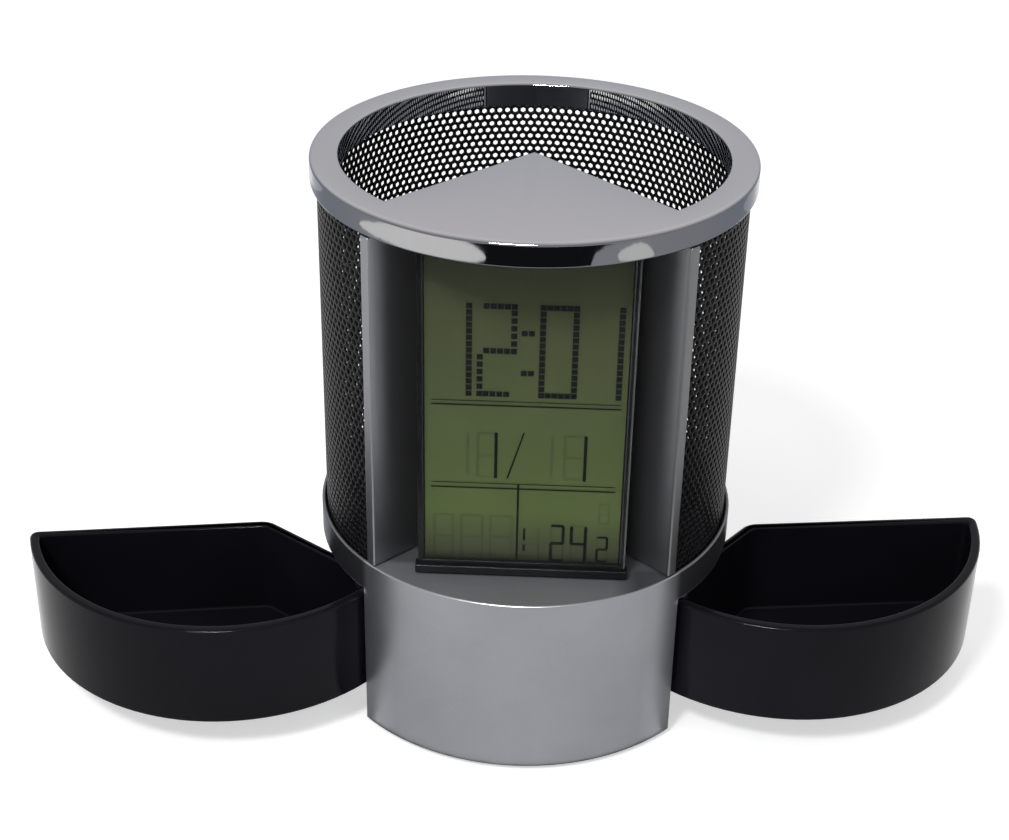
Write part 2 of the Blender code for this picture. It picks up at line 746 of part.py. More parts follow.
def build_main_board():
    board = box("main_board", (-glass_half, glass_half), (board_front, board_rear),
                (glass_bottom, glass_top))
    keep_part(board, board_green)
    height = glass_top - glass_bottom
    seat = board_rear + fit_gap

    def behind_board(name, profile, x, z, material, segments=32):
        piece = turned(name, profile, segments)
        piece.rotation_euler = (-math.pi / 2, 0.0, 0.0)
        piece.location = (x, seat, z)
        smooth(piece)
        return keep_part(piece, material)

    dome = [(chip_radius * math.sin(t), chip_height * math.cos(t))
            for t in (i * math.pi / 12 for i in range(7))]
    behind_board("clock_chip", dome + [(0.0, 0.0)], -chip_radius, glass_bottom + height * 0.45,
                 black_gloss)
    buzzer_profile = [(0.0, buzzer_height), (buzzer_radius, buzzer_height),
                      (buzzer_radius, 0.0), (0.0, 0.0)]
    behind_board("buzzer", buzzer_profile, buzzer_radius / 2, glass_bottom + height * 0.68, black_matt)
    bead_profile = [(0.0, 2 * sensor_radius), (sensor_radius, 1.5 * sensor_radius),
                    (sensor_radius, 0.0), (0.0, 0.0)]
    behind_board("temperature_sensor", bead_profile, cavity_half / 2, glass_bottom + height * 0.3,
                 brass, 16)
    crystal = rod("quartz_crystal", crystal_radius, chip_radius, seat + crystal_radius,
                  (glass_bottom + height * 0.42, glass_bottom + height * 0.42 + crystal_length), 16)
    keep_part(crystal, spring_steel)


# Keys: caps in the base plate, switches above them, and the small board that carries those
key_rest_top = plate_top + fit_gap + key_flange_height
switch_bottom = key_rest_top + key_travel + fit_gap
key_board_bottom = switch_bottom + switch_height + fit_gap
key_board_top = key_board_bottom + board_thickness
key_names = ("button_mode", "button_set", "button_up", "button_down")


def key_x(index):
    return (index - (key_count - 1) / 2) * key_pitch


def build_keys():
    for i, name in enumerate(key_names):
        profile = [(0.0, key_rest_top), (key_flange_radius, key_rest_top),
                   (key_flange_radius, plate_top + fit_gap), (key_radius, plate_top + fit_gap),
                   (key_radius, foot_height - key_proud), (0.0, foot_height - key_proud)]
        cap = turned(name, profile, 24)
        cap.location = (key_x(i), -key_setback, 0.0)
        keep_part(cap, black_gloss)
        half = switch_size / 2
        switch = box(name.replace("button", "switch"), (key_x(i) - half, key_x(i) + half),
                     (-key_setback - half, -key_setback + half),
                     (switch_bottom, switch_bottom + switch_height))
        keep_part(switch, spring_steel)
    board = box("key_board", (-key_board_width / 2, key_board_width / 2),
                (-key_setback - switch_size / 2 - key_board_margin,
                 ribbon_y + ribbon_thickness + fit_gap), (key_board_bottom, key_board_top))
    keep_part(board, board_green)
    ribbon = box("key_ribbon", (-ribbon_width / 2, ribbon_width / 2),
                 (ribbon_y - ribbon_thickness / 2, ribbon_y + ribbon_thickness / 2),
                 (key_board_top + fit_gap, glass_bottom - fit_gap))
    keep_part(ribbon, ribbon_film)


# Battery: one upright cell in a tube behind the display, loaded from below
def helix(name, radius, wire, turns, z, x, y):
    """A coil of round wire between the levels in z."""
    shape = bpy.data.curves.new(name, "CURVE")
    shape.dimensions = "3D"
    shape.bevel_depth = wire / 2
    shape.bevel_resolution = 1
    shape.use_fill_caps = True
    count = round(turns * 10)
    line = shape.splines.new("POLY")
    line.points.add(count)
    rise = z[1] - z[0] - wire
    for i, point in enumerate(line.points):
        turn = math.tau * turns * i / count
        level = z[0] + wire / 2 + rise * i / count
        point.co = (x + radius * math.cos(turn), y + radius * math.sin(turn), level, 1.0)
    item = bpy.data.objects.new(name, shape)
    bpy.context.scene.collection.objects.link(item)
    return item


def build_battery():
    tube = rod("battery_tube", tube_outer, 0, -tube_setback, (tube_bottom, tube_top), 40)
    cut(tube, rod("tube_bore", cell_radius + fit_gap, 0, -tube_setback,
                  (tube_bottom - 1 * MM, tube_top - tube_cap), 40))
    keep_part(tube, black_matt)
    shoulder = cell_top - cell_nub_height
    profile = [(0.0, cell_top), (cell_nub_radius, cell_top), (cell_nub_radius, shoulder),
               (cell_radius, shoulder), (cell_radius, cell_bottom), (0.0, cell_bottom)]
    cell = turned("battery_cell", profile, 32)
    cell.location.y = -tube_setback
    keep_part(cell, cell_wrap)
    coil = helix("contact_spring", spring_radius, spring_wire, spring_turns,
                 (spring_bottom, spring_bottom + spring_height), 0.0, -tube_setback)
    coil.data.materials.append(spring_steel)
    keep_part(coil, spring_steel)
    half = strip_size / 2
    strip = box("contact_strip", (-half, half), (-tube_setback - half / 2, -tube_setback + half / 2),
                (strip_bottom, strip_bottom + strip_thickness))
    keep_part(strip, spring_steel)
    door = box("battery_door", (-door_width / 2, door_width / 2), (door_front, door_rear),
               (door_level, door_level + door_thickness))
    join(door, box("door_tongues", (-tongue_side, tongue_side),
                   (door_front + fit_gap, door_front + tongue_length),
                   (foot_height + door_lip + fit_gap, door_level + door_thickness - fit_gap / 2)))
    keep_part(door, black_matt)


def build_leads():
    """Two short wires from the battery's ends to the back of the main board."""
    routes = {
        "lead_plus": (tube_top + fit_gap + lead_radius, 3 * MM),
        "lead_minus": (tube_top + fit_gap + lead_radius, -3 * MM),
    }
    for name, (level, x) in routes.items():
        lead = rod(name, lead_radius, 0, 0, (0.0, board_rear * -1.0 - tube_setback - fit_gap), 12)
        length = -board_rear - tube_setback - fit_gap
        lead.data.transform(Matrix.Rotation(math.pi / 2, 4, "X"))
        lead.location = (x, -tube_setback - length / 2, level)
        keep_part(lead, dark_rubber)


def screw(name, x, y, seat, tip, material=spring_steel):
    """A screw with its head below its seat and its shank up to its tip."""
    profile = [(0.0, tip), (screw_radius, tip), (screw_radius, seat), (screw_head_radius, seat),
               (screw_head_radius, seat - screw_head_height), (0.0, seat - screw_head_height)]
    item = turned(name, profile, small_segments)
    item.location = (x, y, 0.0)
    return keep_part(item, material)


def build_fasteners():
    names = ("base_screw_front_left", "base_screw_front_right",
             "base_screw_rear_left", "base_screw_rear_right")
    for name, (x, y) in zip(names, screw_places()):
        screw(name, x, y, foot_height + screw_head_height, plinth_top - plinth_deck / 2 - fit_gap)
    underside = band_top - ledge_thickness - fit_gap
    for name, (x, y) in zip(("column_screw_left", "column_screw_right"), tab_screw_places):
        screw(name, x, y, underside, band_top + fit_gap + tab_thickness * 2)


def build_feet():
    names = ("foot_front_left", "foot_front_right", "foot_rear_left", "foot_rear_right")
    for name, (x, y) in zip(names, foot_places()):
        foot = rod(name, foot_radius, x, y, (0.0, foot_height + foot_seat_depth), 24)
        keep_part(foot, dark_rubber)
    pad = rod("centre_pad", centre_pad_radius, 0, centre_pad_y,
              (0.0, foot_height + foot_seat_depth), 40)
    keep_part(pad, dark_rubber)


def tray_outline(inset, wall_corner):
    """Plan outline of the closed right tray about its pivot, drawn inwards by inset."""
    side = tray_heel + block_normal * inset
    seam_direction = (tray_tail - tray_heel).normalized()
    seam_normal = Vector((seam_direction.y, -seam_direction.x))
    seam = tray_heel + seam_normal * inset
    across = seam - side
    denominator = block_direction.x * seam_direction.y - block_direction.y * seam_direction.x
    run = (across.x * seam_direction.y - across.y * seam_direction.x) / denominator
    heel = side + block_direction * run
    radius = tray_radius - inset
    toe = meet_circle(heel, block_direction, radius, tray_centre)
    tail = meet_circle(heel, seam_direction, radius, tray_centre)
    start = plan_angle(toe - tray_centre)
    end = plan_angle(tail - tray_centre) % math.tau
    points = [heel] + arc(radius, start, end, 28, tray_centre)
    return [point - pivot for point in points], wall_corner


def build_tray(name, side, open_angle):
    """One tray on its pivot; side is 1 for the right one and -1 for the left one."""
    level = (tray_bottom, tray_top)

    def shaped(label, inset, z, corner):
        outline, radius = tray_outline(inset, corner)
        if side < 0:
            outline = mirrored(outline)
        item = plate(label, outline, z)
        round_upright_edges(item, radius)
        return item

    tray = shaped(name, 0.0, level, tray_corner_radius)
    hollow = shaped(name + "_hollow", tray_wall, (tray_bottom + tray_floor, tray_top + 1 * MM),
                    tray_inner_corner)
    barrel = rod(name + "_barrel", pivot_boss_radius, 0, 0, (tray_bottom + tray_floor / 2, tray_top))
    bore = rod(name + "_bore", pivot_radius + fit_gap, 0, 0, (tray_bottom - 1 * MM, tray_top + 1 * MM))
    sink = rod(name + "_sink", pivot_head_radius + fit_gap, 0, 0,
               (tray_bottom - 1 * MM, tray_bottom + pivot_head_height + 2 * fit_gap))
    cut(tray, hollow)
    join(tray, barrel)
    cut(tray, bore, sink)
    place = Vector((side * pivot.x, pivot.y, 0.0))
    for item in (tray, hollow, barrel, bore, sink):
        item.location.x += place.x
        item.location.y += place.y
        item.rotation_euler.z = -side * open_angle
    smooth(tray)
    keep_part(tray, black_gloss)

    label = name.split("_")[-1]
    seat = tray_bottom + pivot_head_height + fit_gap
    profile = [(0.0, pin_tip), (pivot_radius, pin_tip), (pivot_radius, seat), (pivot_head_radius, seat),
               (pivot_head_radius, tray_bottom + fit_gap), (0.0, tray_bottom + fit_gap)]
    pin = turned(f"pivot_pin_{label}", profile, small_segments)
    pin.location = place
    keep_part(pin, spring_steel)
    washer_bottom = tray_top + fit_gap
    washer = rod(f"pivot_washer_{label}", washer_radius, place.x, place.y,
                 (washer_bottom, washer_bottom + washer_thickness))
    cut(washer, rod(f"washer_hole_{label}", pivot_radius + fit_gap, place.x, place.y,
                    (washer_bottom - 1 * MM, washer_bottom + washer_thickness + 1 * MM)))
    keep_part(washer, spring_steel)


build_body_shell()
build_plinth()
build_base_plate()
build_top_cap()
build_clock_column()
build_mesh_screen()
build_cup_floor()
build_display_case()
build_display_frame()
build_display_window()
build_lcd()
build_main_board()
build_keys()
build_battery()
build_leads()
build_fasteners()
build_feet()
build_tray("tray_left", -1, left_open_angle)
build_tray("tray_right", 1, right_open_angle)
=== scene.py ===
import math

import bmesh
import bpy
from mathutils import Matrix, Vector


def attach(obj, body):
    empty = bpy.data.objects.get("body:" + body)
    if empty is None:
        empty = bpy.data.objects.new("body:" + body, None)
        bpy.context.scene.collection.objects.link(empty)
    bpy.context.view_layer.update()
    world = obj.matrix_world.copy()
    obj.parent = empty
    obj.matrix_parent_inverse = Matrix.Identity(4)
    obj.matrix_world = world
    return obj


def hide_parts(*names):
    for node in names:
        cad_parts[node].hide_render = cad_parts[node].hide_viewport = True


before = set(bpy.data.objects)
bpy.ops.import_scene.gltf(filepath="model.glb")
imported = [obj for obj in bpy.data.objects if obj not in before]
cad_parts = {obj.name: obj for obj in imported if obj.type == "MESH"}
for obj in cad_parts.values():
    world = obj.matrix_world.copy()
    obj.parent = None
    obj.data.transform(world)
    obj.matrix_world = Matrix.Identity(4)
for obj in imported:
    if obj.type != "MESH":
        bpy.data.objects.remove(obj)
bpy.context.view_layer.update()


# The table is a pale matt board. It shows as plain white to the eye and in the plating, and keeps
# the holder's soft shadow. Plain white air stands round it in place of a room.

class Shade:
    """One output in a material's node tree. Sums and products of it add the nodes that work them out."""

    def __init__(self, tree, output=None):
        self.tree = tree
        self.output = output

    def node(self, kind, settings=None, inputs=None, out=0):
        """Adds a node, makes its settings, then fills or links its sockets, and gives back one output."""
        made = self.tree.nodes.new(kind)
        for setting, value in (settings or {}).items():
            if setting == "stops":
                stops = made.color_ramp.elements
                while len(stops) < len(value):
                    stops.new(0.5)
                for stop, (position, colour) in zip(stops, value):
                    stop.position = position
                    stop.color = (*colour, 1.0)
            else:
                setattr(made, setting, value)
        for socket, value in (inputs or {}).items():
            if isinstance(value, Shade):
                self.tree.links.new(value.output, made.inputs[socket])
            else:
                made.inputs[socket].default_value = value
        return Shade(self.tree, made.outputs[out] if len(made.outputs) else None)

    def math(self, operation, *others):
        """A Math node on this value and the others."""
        return self.node("ShaderNodeMath", {"operation": operation}, dict(enumerate((self, *others))))

    def __add__(self, other):
        return self.math("ADD", other)

    def __sub__(self, other):
        return self.math("SUBTRACT", other)

    def __rsub__(self, other):
        return self.node("ShaderNodeMath", {"operation": "SUBTRACT"}, {0: other, 1: self})

    def __mul__(self, other):
        return self.math("MULTIPLY", other)

    __radd__ = __add__
    __rmul__ = __mul__

    def ramp(self, low, high):
        """0 where this is low, 1 where it is high, even between."""
        return self.node("ShaderNodeMapRange", {}, {"Value": self, "From Min": low, "From Max": high})

    def tint(self, first, last):
        """A colour between two, by this factor. Each is a plain colour or one of the tree."""
        ends = [colour if isinstance(colour, Shade) else (*colour, 1.0) for colour in (first, last)]
        return self.node("ShaderNodeMix", {"data_type": "RGBA"}, {0: self, 6: ends[0], 7: ends[1]}, out=2)

    def scaled(self, factor):
        """This colour, as many times as bright."""
        return self.node("ShaderNodeVectorMath", {"operation": "SCALE"}, {0: self, "Scale": factor})

    def place(self):
        """The point's place on the object, in metres, as it stands at rest."""
        return self.node("ShaderNodeTexCoord", out=3)

    def facing(self):
        """The direction in which the surface faces."""
        return self.node("ShaderNodeTexCoord", out=1)

    def part(self, number):
        """One of a vector's three numbers."""
        return self.node("ShaderNodeSeparateXYZ", {}, {0: self}, out=number)

    def from_axis(self):
        """How far the point lies from the body's upright axis, in metres."""
        flat = self.node("ShaderNodeVectorMath", {"operation": "MULTIPLY"},
                         {0: self.place(), 1: (1.0, 1.0, 0.0)})
        return self.node("ShaderNodeVectorMath", {"operation": "LENGTH"}, {0: flat}, out=1)

    def grain(self, size, detail=2.0):
        """Noise whose grains are about size metres across."""
        return self.node("ShaderNodeTexNoise", {},
                         {"Vector": self.place(), "Scale": 1.0 / size, "Detail": detail})

    def relief(self, height, depth, strength=1.0):
        """The surface normal over bumps depth metres high."""
        return self.node("ShaderNodeBump", {}, {"Height": height, "Distance": depth, "Strength": strength})

    def surface(self, inputs):
        """Ends the material in a principled shader with these sockets."""
        shader = self.node("ShaderNodeBsdfPrincipled", {}, inputs)
        self.node("ShaderNodeOutputMaterial", {}, {"Surface": shader})


def material(name):
    """An empty material, and the Shade that its nodes are added from."""
    made = bpy.data.materials.new(name)
    made.use_nodes = True
    made.node_tree.nodes.clear()
    return made, Shade(made.node_tree)


def seen(shade):
    """1 for the rays that show a surface to the eye, in gloss or through the window, 0 for light."""
    eye, gloss, through = (shade.node("ShaderNodeLightPath", out=ray)
                           for ray in ("Is Camera Ray", "Is Glossy Ray", "Is Transmission Ray"))
    return eye.math("MAXIMUM", gloss.math("MAXIMUM", through))


def put(name, data):
    """A new object in the scene."""
    item = bpy.data.objects.new(name, data)
    bpy.context.scene.collection.objects.link(item)
    return item


white = (1.0, 1.0, 1.0)
board_dark, board_light = (0.70, 0.70, 0.71), (0.86, 0.86, 0.86)
board_glow, air_light = 0.54, 0.44
table_reach, table_drop = 4.0, 0.0002

board, shade = material("pale board")
speck = 0.93 + shade.grain(0.002) * 0.04
matt = shade.node("ShaderNodeBsdfDiffuse", {}, {"Color": speck.tint(board_dark, board_light)})
glow = shade.node("ShaderNodeEmission", {}, {"Color": (*white, 1.0), "Strength": seen(shade) * board_glow})
both = shade.node("ShaderNodeAddShader", {}, {0: matt, 1: glow})
shade.node("ShaderNodeOutputMaterial", {}, {"Surface": both})

table_corners = [(x * table_reach, y * table_reach, 0.0) for x, y in ((-1, -1), (1, -1), (1, 1), (-1, 1))]
sheet = bpy.data.meshes.new("table")
sheet.from_pydata(table_corners, [], [(0, 1, 2, 3)])
sheet.materials.append(board)
table = put("table", sheet)
table.location.z = -table_drop

world = bpy.data.worlds.new("studio")
bpy.context.scene.world = world
world.use_nodes = True
world.node_tree.nodes.clear()
shade = Shade(world.node_tree)
air = shade.node("ShaderNodeBackground", {}, {"Color": (*white, 1.0),
                                              "Strength": air_light + seen(shade) * (1.0 - air_light)})
shade.node("ShaderNodeOutputWorld", {}, {"Surface": air})


# Two lamps light the holder. Soft daylight falls from the upper left, and a long narrow strip low
# in front shows only in gloss, where it draws the bright lines on the edges that face the viewer.

def lamp(name, shape, size, watts, place, aim):
    """A flat lamp of that width and height, turned to shine at aim."""
    light = bpy.data.lights.new(name, "AREA")
    light.shape = shape
    light.size, light.size_y = size
    light.energy = watts
    item = put(name, light)
    item.location = place
    item.rotation_euler = (Vector(aim) - item.location).to_track_quat("-Z", "Y").to_euler()
    return item


daylight = lamp("daylight", "DISK", (0.16, 0.16), 3.6, (-0.24, -0.50, 0.74), (0.0, 0.0, 0.05))
daylight.visible_glossy = False
strip = lamp("strip_in_front", "ELLIPSE", (0.22, 0.020), 6.514, (-0.074, -0.55, 0.22), (0.0, -0.04, 0.112))
strip.visible_camera = strip.visible_diffuse = strip.visible_transmission = False


# The camera looks down on the front at 29.8 degrees, a little from the right, and is turned by
# one degree about its own axis, as the photograph was taken.

view_azimuth, view_elevation, view_roll = (math.radians(angle) for angle in (1.672, 29.815, 1.144))
view_centre, view_distance = Vector((-0.00469, 0.0, 0.05616)), 0.37692
sensor_width, focal_length = 36.0, 65.69

backward = Vector((math.sin(view_azimuth) * math.cos(view_elevation),
                   -math.cos(view_azimuth) * math.cos(view_elevation), math.sin(view_elevation)))
rightward = Vector((math.cos(view_azimuth), math.sin(view_azimuth), 0.0))
level_view = Matrix((rightward, backward.cross(rightward), backward)).transposed()
turn = level_view @ Matrix.Rotation(view_roll, 3, "Z")
lens = bpy.data.cameras.new("camera")
lens.sensor_width = sensor_width
lens.lens = focal_length
lens.clip_start = 0.01
camera = put("camera", lens)
camera.matrix_world = Matrix.Translation(view_centre + backward * view_distance) @ turn.to_4x4()
bpy.context.scene.camera = camera
bpy.context.scene.view_settings.view_transform = "Standard"


# The body shell: one moulding in metallic silver plastic. A band runs round under the cup, its
# front drops to the table as a curved panel, and a ledge inside the band carries the display. Two
# walls behind the panel meet in a point and leave the room where the trays swing in.

MM = 0.001
body_radius = 42.3
panel_bottom, panel_wall, panel_wall_top = 0.8, 2.0, 8.0
panel_edge = math.radians(47.06)
band_bottom, band_top, band_lip = 33.1, 39.9, 0.75
flange_width, flange_top, flange_start = 5.8, 34.7, 0.015
fit_gap = 0.3
seat = flange_top + fit_gap
shell_rounding = 0.35
column_angle, column_apex = math.radians(45.4), -0.8
block_angle = math.radians(50.3)
block_apex = body_radius * (math.sin(panel_edge) / math.tan(block_angle) - math.cos(panel_edge))
block_foot, block_foot_top, block_top = 7.4, 7.8, 34.9
pivot_x, pivot_y = 31.038, -23.417
boss_radius, boss_bottom, boss_top = 2.4, 31.9, 33.6


def polar(radius, angle, height):
    """A point by its distance from the axis and its angle from the front, in millimetres."""
    return Vector((radius * math.sin(angle), -radius * math.cos(angle), height))


def plan_angle(point):
    """The angle of a point from the front, seen from above."""
    return math.atan2(point.x, -point.y)


def sweep(start, end, steps):
    return [start + (end - start) * i / steps for i in range(steps + 1)]


def ring(radius, angles, height):
    return [polar(radius, angle, height) for angle in angles]


def raised(outline, height):
    return [point + Vector((0.0, 0.0, height)) for point in outline]


def meet(apex, half_angle, radius):
    """How far from its apex a wall at half_angle to the front reaches a circle about the axis."""
    fall = -apex * math.cos(half_angle)
    return -fall + math.sqrt(fall * fall + radius * radius - apex * apex)


def along(apex, half_angle, run, height=0.0):
    """A point on that wall, run millimetres from the apex; a negative half_angle is the left wall."""
    return Vector((run * math.sin(half_angle), apex - run * math.cos(half_angle), height))


def piece(name, sheets, caps, finish, body="base", rounding=0.0, sharp=32.0):
    """A mesh of lofted sheets (rows of points in millimetres) and flat caps, welded where they touch."""
    build = bmesh.new()
    for rows in sheets:
        grid = [[build.verts.new(Vector(point) * MM) for point in row] for row in rows]
        for low, high in zip(grid, grid[1:]):
            for i in range(len(low) - 1):
                build.faces.new((low[i], low[i + 1], high[i + 1], high[i]))
    for cap in caps:
        build.faces.new([build.verts.new(Vector(point) * MM) for point in cap])
    bmesh.ops.remove_doubles(build, verts=build.verts, dist=2e-6)
    bmesh.ops.dissolve_degenerate(build, dist=2e-6, edges=build.edges)
    bmesh.ops.recalc_face_normals(build, faces=build.faces)
    data = bpy.data.meshes.new(name)
    build.to_mesh(data)
    build.free()
    data.materials.append(finish)
    data.shade_smooth()
    item = put(name, data)
    if rounding:
        bevel = item.modifiers.new("rounded edges", "BEVEL")
        bevel.width = rounding * MM
        bevel.segments = 3
        bevel.limit_method = "ANGLE"
        bevel.angle_limit = math.radians(sharp)
        bevel.harden_normals = True
    else:
        data.set_sharp_from_angle(angle=math.radians(sharp))
    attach(item, body)
    return item


def dress(finish, nodes):
    """Gives its material to each node that shows in its CAD form."""
    for node in nodes:
        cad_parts[node].material_slots[0].material = finish


# Fine flakes lie under a satin surface. Over them the colour carries painted light and shade. The band is
# darker, a painted reflection of dark surroundings. A pale, non-metallic line along its lower edge is a
# painted highlight.
# Upward faces and the panel's sides are painted lighter, the ledge's right corner is darker as a painted
# shadow, and the colour also darkens towards the bottom.

flake_dark, flake_light = (0.260, 0.263, 0.284), (0.304, 0.307, 0.328)
# Pale colour of the band's lower edge: a painted highlight line, not bare plastic.
edge_highlight_colour = (0.62, 0.63, 0.66)
flake_size = 0.00022

silver, shade = material("silver plastic")
flakes = shade.grain(flake_size, 1.0)
cloud = shade.grain(0.012, 3.0)
x, y, z = (shade.place().part(number) for number in range(3))
upward = shade.facing().part(2).ramp(0.5, 0.9)
on_band = y.ramp(-0.0296, -0.0284) * z.ramp(0.0320, 0.0325)
# Where the band's lower edge carries the painted highlight; it is also made non-metallic there.
edge_highlight_mask = on_band * z.ramp((band_bottom + shell_rounding) * MM, (band_bottom + 0.15) * MM)
# The ledge's upward face right of the display is darkened: a painted shadow.
corner_painted_shadow = upward * x.ramp(0.0175, 0.0225) * (1.0 - on_band)
# The panel's sides are painted lighter: painted light against their dark reflections.
side_painted_light = x.math("ABSOLUTE").ramp(0.0245, 0.0300) * (1.0 - on_band) * (1.0 - upward)
# Painted light and shade on the silver: lighter upward and on the panel's sides, darker on the band (painted
# reflection) and in the ledge's right corner (painted shadow), and darker towards the bottom.
tone = 0.80 + z.ramp(0.0, 0.040) * 0.13 + upward * 0.11 + side_painted_light * 0.32 \
    - on_band * 0.45 - corner_painted_shadow * 0.62
paint = (flakes * 0.5 + cloud * 0.5).ramp(0.3, 0.7).tint(flake_dark, flake_light)
shade.surface({"Base Color": edge_highlight_mask.tint(paint.scaled(tone), edge_highlight_colour),
               "Metallic": (0.92 - upward * 0.40) * (1.0 - edge_highlight_mask), "Roughness": 0.27 + flakes * 0.1,
               "Specular Tint": (0.42, 0.43, 0.45, 1.0), "Normal": shade.relief(flakes, 0.000008, 0.6)})

front = sweep(-panel_edge, panel_edge, 36)
round_back = sweep(panel_edge, math.tau - panel_edge, 96)
flange = sweep(panel_edge - flange_start, math.tau - panel_edge + flange_start, 96)
lip_radius, flange_radius = body_radius - band_lip, body_radius - flange_width
panel_inside = body_radius - panel_wall
ledge_side = meet(column_apex, column_angle, lip_radius)
ledge_back = [polar(lip_radius, panel_edge, band_top), along(column_apex, column_angle, ledge_side, band_top),
              Vector((0.0, column_apex, band_top)), along(column_apex, -column_angle, ledge_side, band_top),
              polar(lip_radius, -panel_edge, band_top)]
shell_sheets = [
    [ring(body_radius, front, z) for z in (panel_bottom, 12.0, 24.0, band_bottom, band_top)],
    [ring(body_radius, round_back, z) for z in (band_bottom, band_top)],
    [ring(body_radius, round_back, band_top), ring(lip_radius, round_back, band_top)],
    [ring(lip_radius, round_back, band_top), ring(lip_radius, round_back, flange_top)],
    [ring(body_radius, round_back, band_bottom), ring(flange_radius, flange, band_bottom),
     ring(flange_radius, flange, flange_top), ring(lip_radius, flange, flange_top)],
    [ring(body_radius, front, panel_bottom), ring(panel_inside, front, panel_bottom),
     ring(panel_inside, front, panel_wall_top)],
    [ledge_back, raised(ledge_back, seat - band_top)],
]
block_side = meet(block_apex, block_angle, body_radius)
foot_side = block_side - block_foot
for angle in (-block_angle, block_angle):
    for runs, levels in (((block_side, foot_side), (panel_bottom, block_foot_top, block_top)),
                         ((foot_side, 0.0), (block_foot_top, block_top))):
        shell_sheets.append([[along(block_apex, angle, run, z) for run in runs] for z in levels])
shell = piece("shell", shell_sheets, [ring(body_radius, front, band_top) + ledge_back], silver,
              rounding=shell_rounding)
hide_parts("body_shell")

circle = sweep(0.0, math.tau, 24)
for side, label in ((-1, "left"), (1, "right")):
    spot = Vector((side * pivot_x, pivot_y, 0.0))
    boss_rows = [[spot + point for point in ring(boss_radius, circle, z)] for z in (boss_bottom, boss_top)]
    boss = piece(f"pivot_boss_{label}", [boss_rows], [boss_rows[0][:-1]], silver, rounding=0.2)
    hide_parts("body_shell")

dress(silver, ["plinth"])


# The base plate closes the underside. It is moulded in matt black plastic with a fine spark
# texture, and so are the display's case, the battery's tube and its sliding door.

def black_plastic(name, colour, roughness, texture, depth, gloss):
    """Black moulded plastic with the texture of its mould, in grains of that size and depth in metres."""
    made, shade = material(name)
    spark = shade.grain(texture, 3.0)
    patch = shade.grain(0.02)
    light = [channel * 1.5 + 0.004 for channel in colour]
    shade.surface({"Base Color": (patch * 0.7 + spark * 0.3).ramp(0.35, 0.65).tint(colour, light),
                   "Roughness": roughness + spark * 0.12, "Specular IOR Level": gloss,
                   "Normal": shade.relief(spark, depth, 0.8)})
    return made


matt_black = black_plastic("matt black plastic", (0.012, 0.012, 0.013), 0.52, 0.0005, 0.00003, 0.35)
dress(matt_black, ["base_plate", "display_case", "battery_tube", "battery_door", "buzzer"])


# The floor of the cup is a black disc that rests on the flange, with a thin pad on it that keeps
# pens from rattling. Both are cut out in front for the clock's column.

floor_radius, floor_thickness = 40.35, 1.2
pad_radius, pad_thickness = 40.3, 0.8
floor_apex = column_apex + fit_gap / math.sin(column_angle)


def notched(radius, height):
    """A disc's outline with the column's corner cut out of it."""
    limit = plan_angle(along(floor_apex, column_angle, meet(floor_apex, column_angle, radius)))
    return [Vector((0.0, floor_apex, height))] + ring(radius, sweep(limit, math.tau - limit, 84), height)


def disc(name, radius, bottom, thickness, finish, rounding):
    """A flat disc with the column's corner cut out of it."""
    rims = [notched(radius, z) for z in (bottom, bottom + thickness)]
    return piece(name, [[outline + outline[:1] for outline in rims]], rims, finish, rounding=rounding)


pad_face = black_plastic("cup pad", (0.016, 0.016, 0.017), 0.75, 0.0004, 0.00008, 0.2)
cup_floor = disc("cup_disc", floor_radius, seat, floor_thickness, matt_black, 0.2)
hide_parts("cup_floor")
cup_pad = disc("cup_mat", pad_radius, seat + floor_thickness + fit_gap, pad_thickness, pad_face, 0.3)
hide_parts("cup_pad")


# The wall of the cup is thin perforated steel sheet, with round holes in staggered rows.
# It is enamelled black, bent round, and stands between the band's lip and a groove in the rim.

screen_radius, screen_thickness = 41.25, 0.35
screen_edge = math.radians(46.1)
screen_bottom, screen_top = seat, 111.9
hole_pitch, row_pitch, hole_width = 1.65, 1.43, 1.14
corner_reach, row_share = 0.57735, 0.866
side_margin, end_margin = 0.4, 1.2

enamel, shade = material("black enamel")
orange_peel = shade.grain(0.0006)
enamel_tone = shade.grain(0.004).ramp(0.35, 0.65).tint((0.006, 0.006, 0.007), (0.012, 0.012, 0.014))
shade.surface({"Base Color": enamel_tone, "Roughness": 0.30 + orange_peel * 0.14, "Specular IOR Level": 0.05,
               "Normal": shade.relief(orange_peel, 0.00001, 0.5)})

screen_span = math.tau - 2 * screen_edge
columns = round(screen_span * screen_radius / hole_pitch)
rows = math.ceil((screen_top - screen_bottom) / row_pitch)
pitch_angle = screen_span / columns
hexagon = [math.radians(60 * spot + 30) for spot in range(6)]
points, faces, shared = [], [], {}


def screen_point(column, height):
    """A point of the bent sheet, column pitches from its left edge and height above its foot."""
    angle = min(max(screen_edge + pitch_angle * column, screen_edge), math.tau - screen_edge)
    return polar(screen_radius, angle, min(max(screen_bottom + height, screen_bottom), screen_top)) * MM


def cell_corner(column, height):
    """A corner of a hole's six-sided cell, made once and shared with the cells beside it."""
    key = (round(column * 12), round(height * 20))
    if key not in shared:
        shared[key] = len(points)
        points.append(screen_point(column, height))
    return shared[key]


